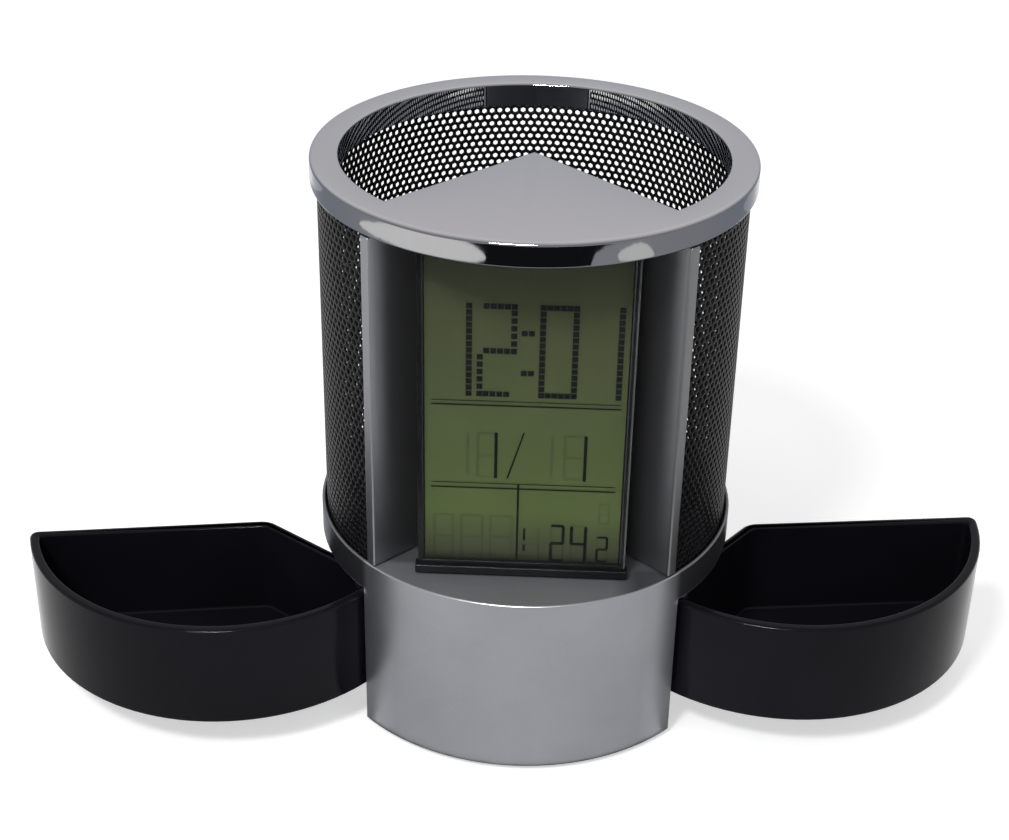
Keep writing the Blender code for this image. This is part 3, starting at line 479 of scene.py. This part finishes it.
for row in range(rows + 1):
    for number in range(columns + 1):
        column, height = number + 0.5 * (row % 2), row * row_pitch
        cell = [cell_corner(column + math.cos(a) * corner_reach,
                            height + math.sin(a) * corner_reach * row_pitch / row_share) for a in hexagon]
        solid_side = not side_margin < column < columns - side_margin
        solid_end = not end_margin < height < screen_top - screen_bottom - end_margin
        if solid_side or solid_end:
            faces.append(cell)
            continue
        first = len(points)
        for a in hexagon:
            aside = math.cos(a) * hole_width / 2 / screen_radius / pitch_angle
            points.append(screen_point(column + aside, height + math.sin(a) * hole_width / 2))
        for spot in range(6):
            after = (spot + 1) % 6
            faces.append([cell[spot], cell[after], first + after, first + spot])
perforated = bpy.data.meshes.new("screen")
perforated.from_pydata(points, [], faces)
perforated.materials.append(enamel)
perforated.shade_smooth()
screen = put("screen", perforated)
gauge = screen.modifiers.new("sheet thickness", "SOLIDIFY")
gauge.thickness = screen_thickness * MM
gauge.offset = -1.0
gauge.use_even_offset = False
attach(screen, "base")
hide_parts("mesh_screen")


# The clock's column: two walls at right angles that part the clock from the cup, each ending in a
# slim post beside the display. One moulding in the same silver plastic, held by two screws.

column_bottom, column_middle, column_top = 40.2, 75.0, 109.9
column_wall = 1.6
wall_reach, post_back = 39.9, 40.6
inner_apex = column_apex - column_wall / math.sin(column_angle)
post_outer = math.radians(45.4)
post_inner = plan_angle(along(inner_apex, column_angle, meet(inner_apex, column_angle, body_radius)))

thin_silver, shade = material("silver on the column")
flakes = shade.grain(flake_size, 1.0)
reach = shade.from_axis()
# Painted shade: the column is darker on faces turned forward into the recess, darkest near the axis by the
# display, and stays light on the posts and on faces turned back to the cup.
recess_painted_shading = reach.ramp(0.0285, 0.0415).math("MAXIMUM", shade.facing().part(1).ramp(-0.3, 0.3))
# The right post's front face is painted darker still: painted shade.
right_post_painted_shade = reach.ramp(0.0414, 0.0419) * shade.place().part(0).ramp(0.0, 0.001)
paint = recess_painted_shading * (0.85 + flakes * 0.3) - right_post_painted_shade * 0.85
shade.surface({"Base Color": paint.tint((0.140, 0.142, 0.144), (0.215, 0.219, 0.232)), "Metallic": 0.9,
               "Roughness": 0.27 + flakes * 0.1, "Normal": shade.relief(flakes, 0.000008, 0.6)})

right_half = [along(column_apex, column_angle, meet(column_apex, column_angle, wall_reach)),
              polar(post_back, post_outer, 0.0)] + ring(body_radius, sweep(post_outer, post_inner, 3), 0.0)
column_plan = [Vector((0.0, column_apex, 0.0))] + right_half + [Vector((0.0, inner_apex, 0.0))] \
    + [Vector((-point.x, point.y, 0.0)) for point in reversed(right_half)]
column_ends = [raised(column_plan, z) for z in (column_bottom, column_top)]
column_rows = [raised(column_plan + column_plan[:1], z) for z in (column_bottom, column_middle, column_top)]
column = piece("column", [column_rows], column_ends, thin_silver, rounding=0.28, sharp=25.0)
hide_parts("clock_column")


# The display: a liquid crystal glass in a thin gloss black frame behind a clear window. Its
# case stands on the ledge between the posts, and the frame's foot bar covers the joint.

display_half, display_bottom, display_top = 20.0, 40.6, 109.0
view_half, view_bottom, view_top = 19.15, 42.4, 107.1
bezel_front, bezel_back = -31.2, -30.3
bar_half, bar_front, bar_bottom, bar_top = 20.5, -32.8, 40.2, 42.1
window_front, window_back = -32.31, -31.51

lcd, shade = material("lcd glass")
# The glass's green is painted darker towards the top, a painted shade under the rim, and it is darker along
# its lower edge too.
fall = shade.node("ShaderNodeValToRGB",
                  {"stops": [(0.0, (0.012, 0.012, 0.009)), (0.04, (0.060, 0.066, 0.035)),
                             (0.18, (0.110, 0.150, 0.048)), (0.5, (0.096, 0.122, 0.050)),
                             (0.80, (0.078, 0.088, 0.042)), (1.0, (0.040, 0.046, 0.026))]},
                  {"Fac": shade.place().part(2).ramp(0.0410, 0.1080)})
cloud = shade.grain(0.009, 3.0).ramp(0.2, 0.8).tint((0.86, 0.9, 0.84), white)
clouded = shade.node("ShaderNodeMix", {"data_type": "RGBA", "blend_type": "MULTIPLY"},
                     {0: 1.0, 6: fall, 7: cloud}, out=2)
shade.surface({"Base Color": clouded, "Roughness": 0.24 + shade.grain(0.0004) * 0.1,
               "Specular IOR Level": 0.1, "Normal": shade.relief(shade.grain(0.0006), 0.000004)})
dress(lcd, ["lcd_glass"])

gloss_black = black_plastic("gloss black plastic", (0.006, 0.006, 0.007), 0.08, 0.0015, 0.000004, 0.06)
dress(gloss_black, ["clock_chip"])


def slab(x, y, z):
    """Sheets and caps of a box between two corners."""
    base = [Vector(point) for point in ((x[0], y[0], 0), (x[1], y[0], 0), (x[1], y[1], 0), (x[0], y[1], 0))]
    low, high = (raised(base, level) for level in z)
    return [[low + low[:1], high + high[:1]]], [low, high]


bezel_outline = (display_half, display_bottom, display_top)
bezel_opening = (view_half, view_bottom, view_top)
bezel_rows = []
for (half, low, high), depth in ((bezel_outline, bezel_front), (bezel_outline, bezel_back),
                                 (bezel_opening, bezel_back), (bezel_opening, bezel_front),
                                 (bezel_outline, bezel_front)):
    bezel_rows.append([(-half, depth, low), (half, depth, low), (half, depth, high), (-half, depth, high),
                       (-half, depth, low)])
bezel = piece("bezel", [bezel_rows], (), gloss_black, rounding=0.12)
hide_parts("display_frame")
bar_sheets, bar_caps = slab((-bar_half, bar_half), (bar_front, bezel_back), (bar_bottom, bar_top))
bar = piece("foot_bar", bar_sheets, bar_caps, gloss_black, rounding=0.3)
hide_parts("display_frame")

clear, shade = material("clear window")
rub = shade.grain(0.003)
# The right cut edge shows as a pale line of raised alpha: a painted highlight.
right_edge_painted_highlight = shade.place().part(0).ramp(0.01960, 0.01972)
shade.surface({"Base Color": rub.tint((0.20, 0.21, 0.21), (0.23, 0.24, 0.24)),
               "Alpha": 0.012 + rub * 0.01 + right_edge_painted_highlight * 0.25,
               "Roughness": 0.04 + rub * 0.04, "Specular IOR Level": 0.35})
window_sheets, window_caps = slab((-display_half, display_half), (window_front, window_back),
                                  (view_bottom, display_top))
window = piece("window", window_sheets, window_caps, clear, rounding=0.15)
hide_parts("display_window")


# What the display shows: the time in figures built of small square dots, rules between the
# fields, the day and the month, and the temperature. Unlit segments stay faintly visible.

ink, shade = material("lcd figures")
ink_tone = shade.grain(0.0007).ramp(0.3, 0.7)
shade.surface({"Base Color": ink_tone.tint((0.003, 0.005, 0.005), (0.008, 0.011, 0.009)),
               "Roughness": 0.35 + shade.grain(0.0005) * 0.1, "Specular IOR Level": 0.05})
faint, shade = material("lcd unlit segments")
faint_tone = shade.grain(0.0007).ramp(0.3, 0.7)
shade.surface({"Base Color": faint_tone.tint((0.030, 0.040, 0.028), (0.045, 0.055, 0.036)),
               "Roughness": 0.35 + shade.grain(0.0005) * 0.1, "Specular IOR Level": 0.2,
               "Alpha": 0.08 + shade.grain(0.004) * 0.14})


def stroke(start, end, width):
    """A bar between two points of the display, given as x and z."""
    start, end = Vector(start), Vector(end)
    run = end - start
    side = Vector((-run.y, run.x)).normalized() * width / 2
    return [start - side, end - side, end + side, start + side]


def dots(start, end, count):
    """Square dots in a row, the first at start and the last at end."""
    found = []
    for step in range(count):
        middle = Vector(start).lerp(Vector(end), step / (count - 1))
        found.append([middle + Vector((x * dot_width / 2, z * dot_height / 2))
                      for x, z in ((-1, -1), (1, -1), (1, 1), (-1, 1))])
    return found


def figure(x, z, lit, width):
    """Bars of a seven-segment figure: a is the top, b to f go round from the right, g is the middle."""
    middle = (z[0] + z[1]) / 2
    bars = {"a": ((x[0], z[1]), (x[1], z[1])), "b": ((x[1], z[1]), (x[1], middle)),
            "c": ((x[1], middle), (x[1], z[0])), "d": ((x[0], z[0]), (x[1], z[0])),
            "e": ((x[0], middle), (x[0], z[0])), "f": ((x[0], z[1]), (x[0], middle)),
            "g": ((x[0], middle), (x[1], middle))}
    return [stroke(*bars[bar], width) for bar in lit]


def printed(name, shapes, finish, depth):
    """Flat figures lying in the display, depth millimetres from the axis."""
    caps = [[(point.x, -depth, point.y) for point in shape] for shape in shapes]
    item = piece(name, [], caps, finish)
    item.visible_shadow = False


dot_width, dot_height, dot_row = 1.12, 1.14, 1.29
low, mid, high = 78.9, 87.85, 96.9
one, two, colon, zero, last_one = -10.55, (-8.55, -2.35), (-0.45, 0.85), (2.85, 8.85), 17.1
colon_low, colon_high = 83.4, 91.6
clock_dots = []
for x in (one, *zero, last_one):
    clock_dots += dots((x, low), (x, high), 15)
clock_dots += dots((-7.4, high), (two[1], high), 5) + dots((two[1], high - dot_row), (two[1], mid), 6)
clock_dots += dots((-3.6, mid), (-7.4, mid), 4) + dots((two[0], mid - dot_row), (two[0], low), 6)
clock_dots += dots((-7.4, low), (-3.6, low), 4)
for z in (colon_low, colon_high):
    clock_dots += dots((colon[0], z), (colon[1], z), 2)
for z in (low, high):
    clock_dots += dots((4.05, z), (7.65, z), 4)
printed("time_figures", clock_dots, ink, 30.16)

rules = [stroke((-17.5, 77.35), (17.65, 77.35), 0.18), stroke((-17.5, 76.45), (17.8, 76.45), 0.32),
         stroke((-17.4, 59.5), (17.4, 59.5), 0.18), stroke((-17.5, 58.45), (17.5, 58.45), 0.32),
         stroke((-0.95, 41.6), (-0.95, 59.6), 0.42)]
printed("field_rules", rules, ink, 30.15)

tens, units, tenths = (5.6, 7.9), (9.5, 12.2), (14.5, 16.4)
warmth_rise, tenths_rise = (42.4, 50.4), (42.6, 48.1)
date_bars = [stroke((-5.3, 60.7), (-5.3, 70.7), 0.62), stroke((-3.1, 60.7), (-0.1, 70.8), 0.34),
             stroke((11.5, 60.6), (11.5, 70.5), 0.62),
             stroke((0.4, 46.8), (0.4, 49.6), 0.5), stroke((0.4, 44.4), (0.4, 45.9), 0.5),
             stroke((13.1, 42.3), (13.6, 42.3), 0.5)]
date_bars += figure(tens, warmth_rise, "abged", 0.64) + figure(units, warmth_rise, "fgbc", 0.64)
date_bars += figure(tenths, tenths_rise, "abged", 0.5)
printed("date_figures", date_bars, ink, 30.14)

unlit = [stroke((-10.6, 61.0), (-10.6, 70.4), 0.62), stroke((5.2, 61.0), (5.2, 70.4), 0.62),
         stroke((3.2, 42.4), (3.2, 50.4), 0.5)]
for x in ((-8.7, -5.3), (7.6, 11.5)):
    unlit += figure(x, (61.0, 70.4), "adefg", 0.62)
for x in ((-16.9, -13.4), (-11.7, -7.7), (-6.1, -2.0)):
    unlit += figure(x, (42.3, 52.2), "abcdefg", 0.5)
unlit += figure(tens, warmth_rise, "fc", 0.5) + figure(units, warmth_rise, "aed", 0.5)
unlit += figure(tenths, tenths_rise, "fc", 0.4) + figure((14.7, 16.5), (51.3, 55.6), "abcdefg", 0.4)
printed("unlit_segments", unlit, faint, 30.12)


# The rim and the roof over the clock are one moulding with satin plating: a ring round the cup's
# mouth that widens in front into a flat roof. Its upper edge is rounded, the lower one eased.

rim_bottom, total_height = 110.2, 115.2
rim_radius, mouth_radius = 42.5, 37.0
rim_rounding, rim_easing = 0.8, 0.4
mouth_rounding, mouth_easing = 0.5, 0.2
flat_margin = 0.06
roof_corner = math.radians(44.6)

plating, shade = material("satin plating")
facing_up = shade.facing().part(2)
top_side = facing_up.ramp(0.25, 0.8)
inner_side = (1.0 - top_side) * shade.from_axis().ramp(0.0395, 0.0385)
# The sides are painted darker than the top, and the mouth's inner wall has a grey of its own: painted
# reflection of darker surroundings.
outer_painted_reflection = top_side.tint((0.132, 0.137, 0.150), (0.447, 0.433, 0.446))
shade.surface({"Base Color": inner_side.tint(outer_painted_reflection, (0.20, 0.21, 0.23)), "Metallic": 1.0,
               "Specular Tint": (0.55, 0.58, 0.64, 1.0),
               "Roughness": 0.018 + facing_up.ramp(0.90, 0.99) * 0.17 + shade.grain(0.02) * 0.02,
               "Normal": shade.relief(shade.grain(0.0009), 0.000003, 0.15)})


def mouth(grow, height):
    """Outline of the cup's mouth, drawn outwards by grow: the roof's two edges and a long arc."""
    apex = column_apex - grow / math.sin(column_angle)
    reach = meet(apex, column_angle, mouth_radius + grow)
    limit = plan_angle(along(apex, column_angle, reach))
    right = [along(apex, column_angle, reach * i / 16, height) for i in range(16)]
    left = [Vector((-point.x, point.y, height)) for point in reversed(right)]
    return right + ring(mouth_radius + grow, sweep(limit, math.tau - limit, 96), height) + left


def rim(radius, height):
    """The ring's outer circle, with a point for each point of the mouth."""
    return ring(radius, sweep(0.0, roof_corner, 16)[:-1], height) \
        + ring(radius, sweep(roof_corner, math.tau - roof_corner, 96), height) \
        + ring(radius, sweep(math.tau - roof_corner, math.tau, 16)[1:], height)


cap_rows = [rim(rim_radius - rim_easing * (1 - math.sin(a)), rim_bottom + rim_easing * (1 - math.cos(a)))
            for a in sweep(0.0, math.pi / 2, 2)]
cap_rows += [rim(rim_radius, rim_bottom + rim_easing + flat_margin),
             rim(rim_radius, total_height - rim_rounding - flat_margin)]
cap_rows += [rim(rim_radius - rim_rounding * (1 - math.cos(a)),
                 total_height - rim_rounding * (1 - math.sin(a))) for a in sweep(0.0, math.pi / 2, 6)]
cap_rows += [mouth(mouth_rounding * (1 - math.sin(a)), total_height - mouth_rounding * (1 - math.cos(a)))
             for a in sweep(0.0, math.pi / 2, 4)]
cap_rows += [mouth(0.0, total_height - mouth_rounding - flat_margin),
             mouth(0.0, rim_bottom + mouth_easing + flat_margin),
             mouth(0.0, rim_bottom + mouth_easing), mouth(mouth_easing, rim_bottom)]
cap = piece("cap", [cap_rows + cap_rows[:1]], (), plating, sharp=60.0)
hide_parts("top_cap")


# Light and dark cards lie on the table for the gloss alone, as a photographer sets them. Those for
# the rim are cut so that its side mirrors them as the shapes given here, in degrees from the front
# and millimetres up.

def mirrored(angle, height, level):
    """The point of the table, level metres up, that the camera sees in the rim's side."""
    spot = polar(rim_radius, math.radians(angle), height) * MM
    ray = (spot - camera.matrix_world.translation).reflect(polar(1.0, math.radians(angle), 0.0))
    return spot + ray * ((level - spot.z) / ray.z)


def card(name, colour, strength, near, far):
    """A card between two rows of points, as bright as given whatever lights it."""
    face, shade = material(name)
    tone = shade.grain(0.02).ramp(0.3, 0.7).tint(colour, [channel * 0.97 for channel in colour])
    shade.node("ShaderNodeOutputMaterial", {}, {
        "Surface": shade.node("ShaderNodeEmission", {}, {"Color": tone, "Strength": strength})})
    data = bpy.data.meshes.new(name)
    count = len(near)
    data.from_pydata([*near, *far], [], [(i, i + 1, count + i + 1, count + i) for i in range(count - 1)])
    data.materials.append(face)
    item = put(name, data)
    item.visible_camera = item.visible_diffuse = item.visible_shadow = item.visible_transmission = False


def rim_card(name, colour, strength, level, columns):
    """A card for the rim's side. Each column gives an angle, and from where to where it is covered."""
    near, far = ([mirrored(column[0], column[end], level) for column in columns] for end in (1, 2))
    card(name, colour, strength, near, far)


warm_white, near_black = (1.0, 0.96, 0.88), (0.002, 0.002, 0.002)
light_level, dark_level, flag_level, shade_level = 0.0010, 0.0008, 0.0006, 0.0005
rim_card("light_card_left", warm_white, 3.6, light_level, [
    (-44.9, 112.1, 112.4), (-44.0, 111.7, 112.9), (-42.0, 111.4, 113.4), (-38.0, 111.1, 114.1),
    (-35.1, 110.9, 114.5), (-32.6, 110.7, 114.8), (-29.1, 110.5, 115.3), (-25.0, 110.4, 115.6),
    (-22.8, 110.4, 115.6), (-19.1, 110.4, 115.3), (-17.0, 110.5, 115.0), (-14.8, 110.6, 114.6),
    (-12.9, 110.7, 114.0), (-11.4, 110.9, 113.3), (-10.3, 111.2, 112.6), (-9.7, 111.7, 111.9)])
rim_card("light_card_right", warm_white, 3.0, light_level, [
    (21.0, 111.8, 112.0), (21.7, 111.0, 112.8), (23.1, 110.6, 113.3), (24.9, 110.4, 113.7),
    (26.8, 110.3, 113.8), (28.4, 110.4, 113.3), (29.7, 110.5, 112.3), (30.6, 110.8, 111.2)])
dark_top = 116.5
dark_foot = [(-17.5, 115.6), (-15.5, 114.7), (-12.0, 111.0)]
dark_foot += [(angle, 109.0) for angle in (-9.0, -5.0, 0.0, 5.0, 9.0, 12.0, 14.3)]
dark_foot += [(14.8, 111.3), (15.6, 112.9), (18.0, 114.1), (20.8, 114.7), (26.0, 115.6)]
rim_card("dark_card", white, 0.035, dark_level, [(angle, foot, dark_top) for angle, foot in dark_foot])
rim_card("light_card_far_left", warm_white, 1.9, light_level, [
    (-76.0, 112.0, 115.2), (-71.0, 112.0, 115.2), (-66.0, 112.8, 114.8), (-63.0, 113.6, 114.2)])
rim_card("light_card_far_right", warm_white, 1.7, light_level, [
    (64.0, 112.4, 113.2), (67.0, 111.0, 114.4), (72.0, 110.8, 115.2), (78.0, 110.8, 115.2)])

card("flag", near_black, 1.0, [(x, -0.12, flag_level) for x in (-0.066, 0.066)],
     [(x, -0.34, flag_level) for x in (-0.13, 0.13)])
round_foot = sweep(-1.0, 1.0, 12)
foot_rows = [[point * MM for point in ring(radius, round_foot, 0.4)] for radius in (38.0, 43.4)]
card("foot_shade", white, 0.06, *foot_rows)
for side, label in ((-1, "left"), (1, "right")):
    near = [(side * 0.0315, -0.0265, shade_level), (side * 0.070, -0.0180, shade_level)]
    far = [(side * 0.0315, -0.0305, shade_level), (side * 0.070, -0.0370, shade_level)]
    card(f"side_shade_{label}", white, 0.35, near, far)


# The two trays are gloss black mouldings with thin walls, each a third of a circle in plan. A
# barrel in the front corner turns on a steel pin, so the tray swings out from under the cup.

tray_bottom, tray_middle, tray_top = 8.5, 20.0, 31.1
tray_wall, tray_floor = 2.0, 1.8
tray_radius, tray_centre = 41.27, Vector((1.5, 1.85))
tray_heel, tray_tail_x = Vector((4.9, -6.266)), 0.5
tray_corner, tray_easing = 2.0, 0.65
inner_corner_share = 0.6
bore_radius, barrel_lift, bore_lift = 1.3, 1.0, 2.0
left_open, right_open = math.radians(103.7), math.radians(-87.9)

tail_rise = math.sqrt(tray_radius ** 2 - (tray_tail_x - tray_centre.x) ** 2)
tray_tail = Vector((tray_tail_x, tray_centre.y + tail_rise))
block_direction = Vector((math.sin(block_angle), -math.cos(block_angle)))
block_normal = Vector((math.cos(block_angle), math.sin(block_angle)))
seam_direction = (tray_tail - tray_heel).normalized()
seam_normal = Vector((seam_direction.y, -seam_direction.x))

tray_black, shade = material("gloss black tray")
wave = shade.grain(0.012)
ripple = wave * 0.8 + shade.grain(0.0025) * 0.2
tray_tone = shade.grain(0.03).ramp(0.3, 0.7).tint((0.0058, 0.0058, 0.0080), (0.0092, 0.0092, 0.0128))
shade.surface({"Base Color": tray_tone, "Roughness": 0.10 + wave * 0.06, "Specular IOR Level": 0.06,
               "Normal": shade.relief(ripple, 0.00002, 0.5)})


def leave_arc(start, direction, radius):
    """The point where a line from start leaves a circle about the tray's centre."""
    gap = start - tray_centre
    fall = gap.dot(direction)
    return start + direction * (-fall + math.sqrt(fall * fall + radius * radius - gap.dot(gap)))


def tray_plan(inset):
    """The closed right tray's outline about its pivot, drawn inwards by inset."""
    side_point = tray_heel + block_normal * inset
    seam_point = tray_heel + seam_normal * inset
    run = (seam_point - side_point).cross(seam_direction) / block_direction.cross(seam_direction)
    heel = side_point + block_direction * run
    toe, tail = (leave_arc(heel, direction, tray_radius - inset) - tray_centre
                 for direction in (block_direction, seam_direction))
    arc = ring(tray_radius - inset, sweep(plan_angle(toe), plan_angle(tail) % math.tau, 40), 0.0)
    pivot = Vector((pivot_x, pivot_y))
    return [point - pivot for point in [heel] + [tray_centre + point.to_2d() for point in arc]]


def tray(label, side, open_angle):
    """One tray with its barrel, standing open as it does at rest."""
    spin = Matrix.Rotation(open_angle, 2)
    pivot = Vector((side * pivot_x, pivot_y))
    body = f"tray_{label}"

    def loop(inset, height):
        plan = [spin @ Vector((side * point.x, point.y)) + pivot for point in tray_plan(inset)]
        return [Vector((point.x, point.y, height)) for point in plan]

    def spot(point):
        return tuple(round(number, 4) for number in point.xy)

    levels = ((0.0, tray_bottom), (0.0, tray_middle), (0.0, tray_top),
              (tray_wall, tray_top), (tray_wall, tray_middle), (tray_wall, tray_bottom + tray_floor))
    walls = [loop(inset, z) for inset, z in levels]
    item = piece(f"tray_bin_{label}", [[row + row[:1] for row in walls]], [walls[0], walls[-1]],
                 tray_black, body)
    corners = {spot(loop(inset, 0.0)[number] * MM): share
               for inset, share in ((0.0, 1.0), (tray_wall, inner_corner_share)) for number in (0, 1, -1)}
    rounded = item.data.attributes.new("bevel_weight_edge", "FLOAT", "EDGE")
    for edge in item.data.edges:
        start, end = (item.data.vertices[number].co for number in edge.vertices)
        if (start.xy - end.xy).length < 1e-6:
            rounded.data[edge.index].value = corners.get(spot(start), 0.0)
    bend = item.modifiers.new("rounded corners", "BEVEL")
    bend.limit_method = "WEIGHT"
    bend.width = tray_corner * MM
    bend.segments = 6
    easing = item.modifiers.new("eased edges", "BEVEL")
    easing.limit_method = "ANGLE"
    easing.angle_limit = math.radians(50)
    easing.width = tray_easing * MM
    easing.segments = 4
    easing.harden_normals = True
    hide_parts(body)
    tube = [[pivot.to_3d() + point for point in ring(radius, circle, z)]
            for radius, z in ((boss_radius, tray_bottom + barrel_lift), (boss_radius, tray_top),
                              (bore_radius, tray_top), (bore_radius, tray_bottom + bore_lift))]
    barrel = piece(f"tray_barrel_{label}", [tube], (), tray_black, body, rounding=0.25)
    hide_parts(body)


tray("left", -1, left_open)
tray("right", 1, right_open)


# Pins, washers, screws, springs and contacts are plain steel with a thin bright plating, drawn or
# stamped, so they show fine scratches.

steel, shade = material("spring steel")
drawn = shade.node("ShaderNodeMapping", {}, {"Vector": shade.place(), "Scale": (1.0, 1.0, 12.0)})
scratch = shade.node("ShaderNodeTexNoise", {}, {"Vector": drawn, "Scale": 900.0, "Detail": 3.0})
shade.surface({"Base Color": scratch.ramp(0.3, 0.7).tint((0.42, 0.42, 0.43), (0.60, 0.60, 0.61)),
               "Metallic": 1.0, "Roughness": 0.22 + scratch * 0.2,
               "Normal": shade.relief(scratch, 0.00001, 0.5)})
steel_words = ("pivot_pin", "pivot_washer", "base_screw", "column_screw", "switch_", "contact_",
               "quartz_crystal")
dress(steel, [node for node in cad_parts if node.startswith(steel_words)])


# Feet, the pad under the middle, the display's connector strips and the covers of the two leads
# are dark rubber, a little dusty from the table.

rubber, shade = material("dark rubber")
dust = shade.grain(0.0015, 4.0)
shade.surface({"Base Color": dust.ramp(0.4, 0.7).tint((0.016, 0.016, 0.016), (0.040, 0.039, 0.037)),
               "Roughness": 0.7 + dust * 0.2, "Specular IOR Level": 0.25,
               "Normal": shade.relief(shade.grain(0.0003), 0.00003)})
rubber_words = ("foot_", "centre_pad", "connector_strip", "lead_")
dress(rubber, [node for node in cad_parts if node.startswith(rubber_words)])


# The clock's works. The two boards are green lacquered laminate over copper tracks, the reflector
# behind the glass is silvered film, the ribbon amber film, and the sensor has a turned brass can.

laminate, shade = material("board lacquer")
tracks = shade.node("ShaderNodeTexWave", {"wave_type": "BANDS", "bands_direction": "X"},
                    {"Vector": shade.place(), "Scale": 300.0, "Distortion": 6.0, "Detail": 1.0}, out=1)
shade.surface({"Base Color": tracks.ramp(0.45, 0.6).tint((0.012, 0.085, 0.030), (0.030, 0.150, 0.055)),
               "Roughness": 0.3 + shade.grain(0.001) * 0.15, "Normal": shade.relief(tracks, 0.00002, 0.5)})
dress(laminate, ["main_board", "key_board"])


def plain_finish(name, dark, light, metallic, smooth, rough, size, depth, detail=2.0):
    """A finish between smooth and rough, in grains of that size and depth in metres."""
    made, shade = material(name)
    texture = shade.grain(size, detail)
    shade.surface({"Base Color": texture.tint(dark, light), "Metallic": metallic,
                   "Roughness": smooth + texture * (rough - smooth), "Normal": shade.relief(texture, depth)})
    return made


foil = plain_finish("silvered film", (0.52, 0.53, 0.52), (0.70, 0.70, 0.68), 0.9, 0.35, 0.55, 0.004, 0.00004)
film = plain_finish("amber film", (0.30, 0.12, 0.015), (0.42, 0.19, 0.03), 0.0, 0.30, 0.40, 0.001, 0.00001)
brass = plain_finish("turned brass", (0.45, 0.30, 0.10), (0.60, 0.42, 0.17), 1.0, 0.25, 0.40, 0.0006, 0.00001)
wrap = plain_finish("cell wrap", (0.05, 0.055, 0.065), (0.09, 0.10, 0.115), 0.0, 0.25, 0.40, 0.003, 0.00003,
                    detail=3.0)
dress(foil, ["lcd_reflector"])
dress(film, ["key_ribbon"])
dress(brass, ["temperature_sensor"])
dress(wrap, ["battery_cell"])
dress(gloss_black, ["button_mode", "button_set", "button_up", "button_down"])
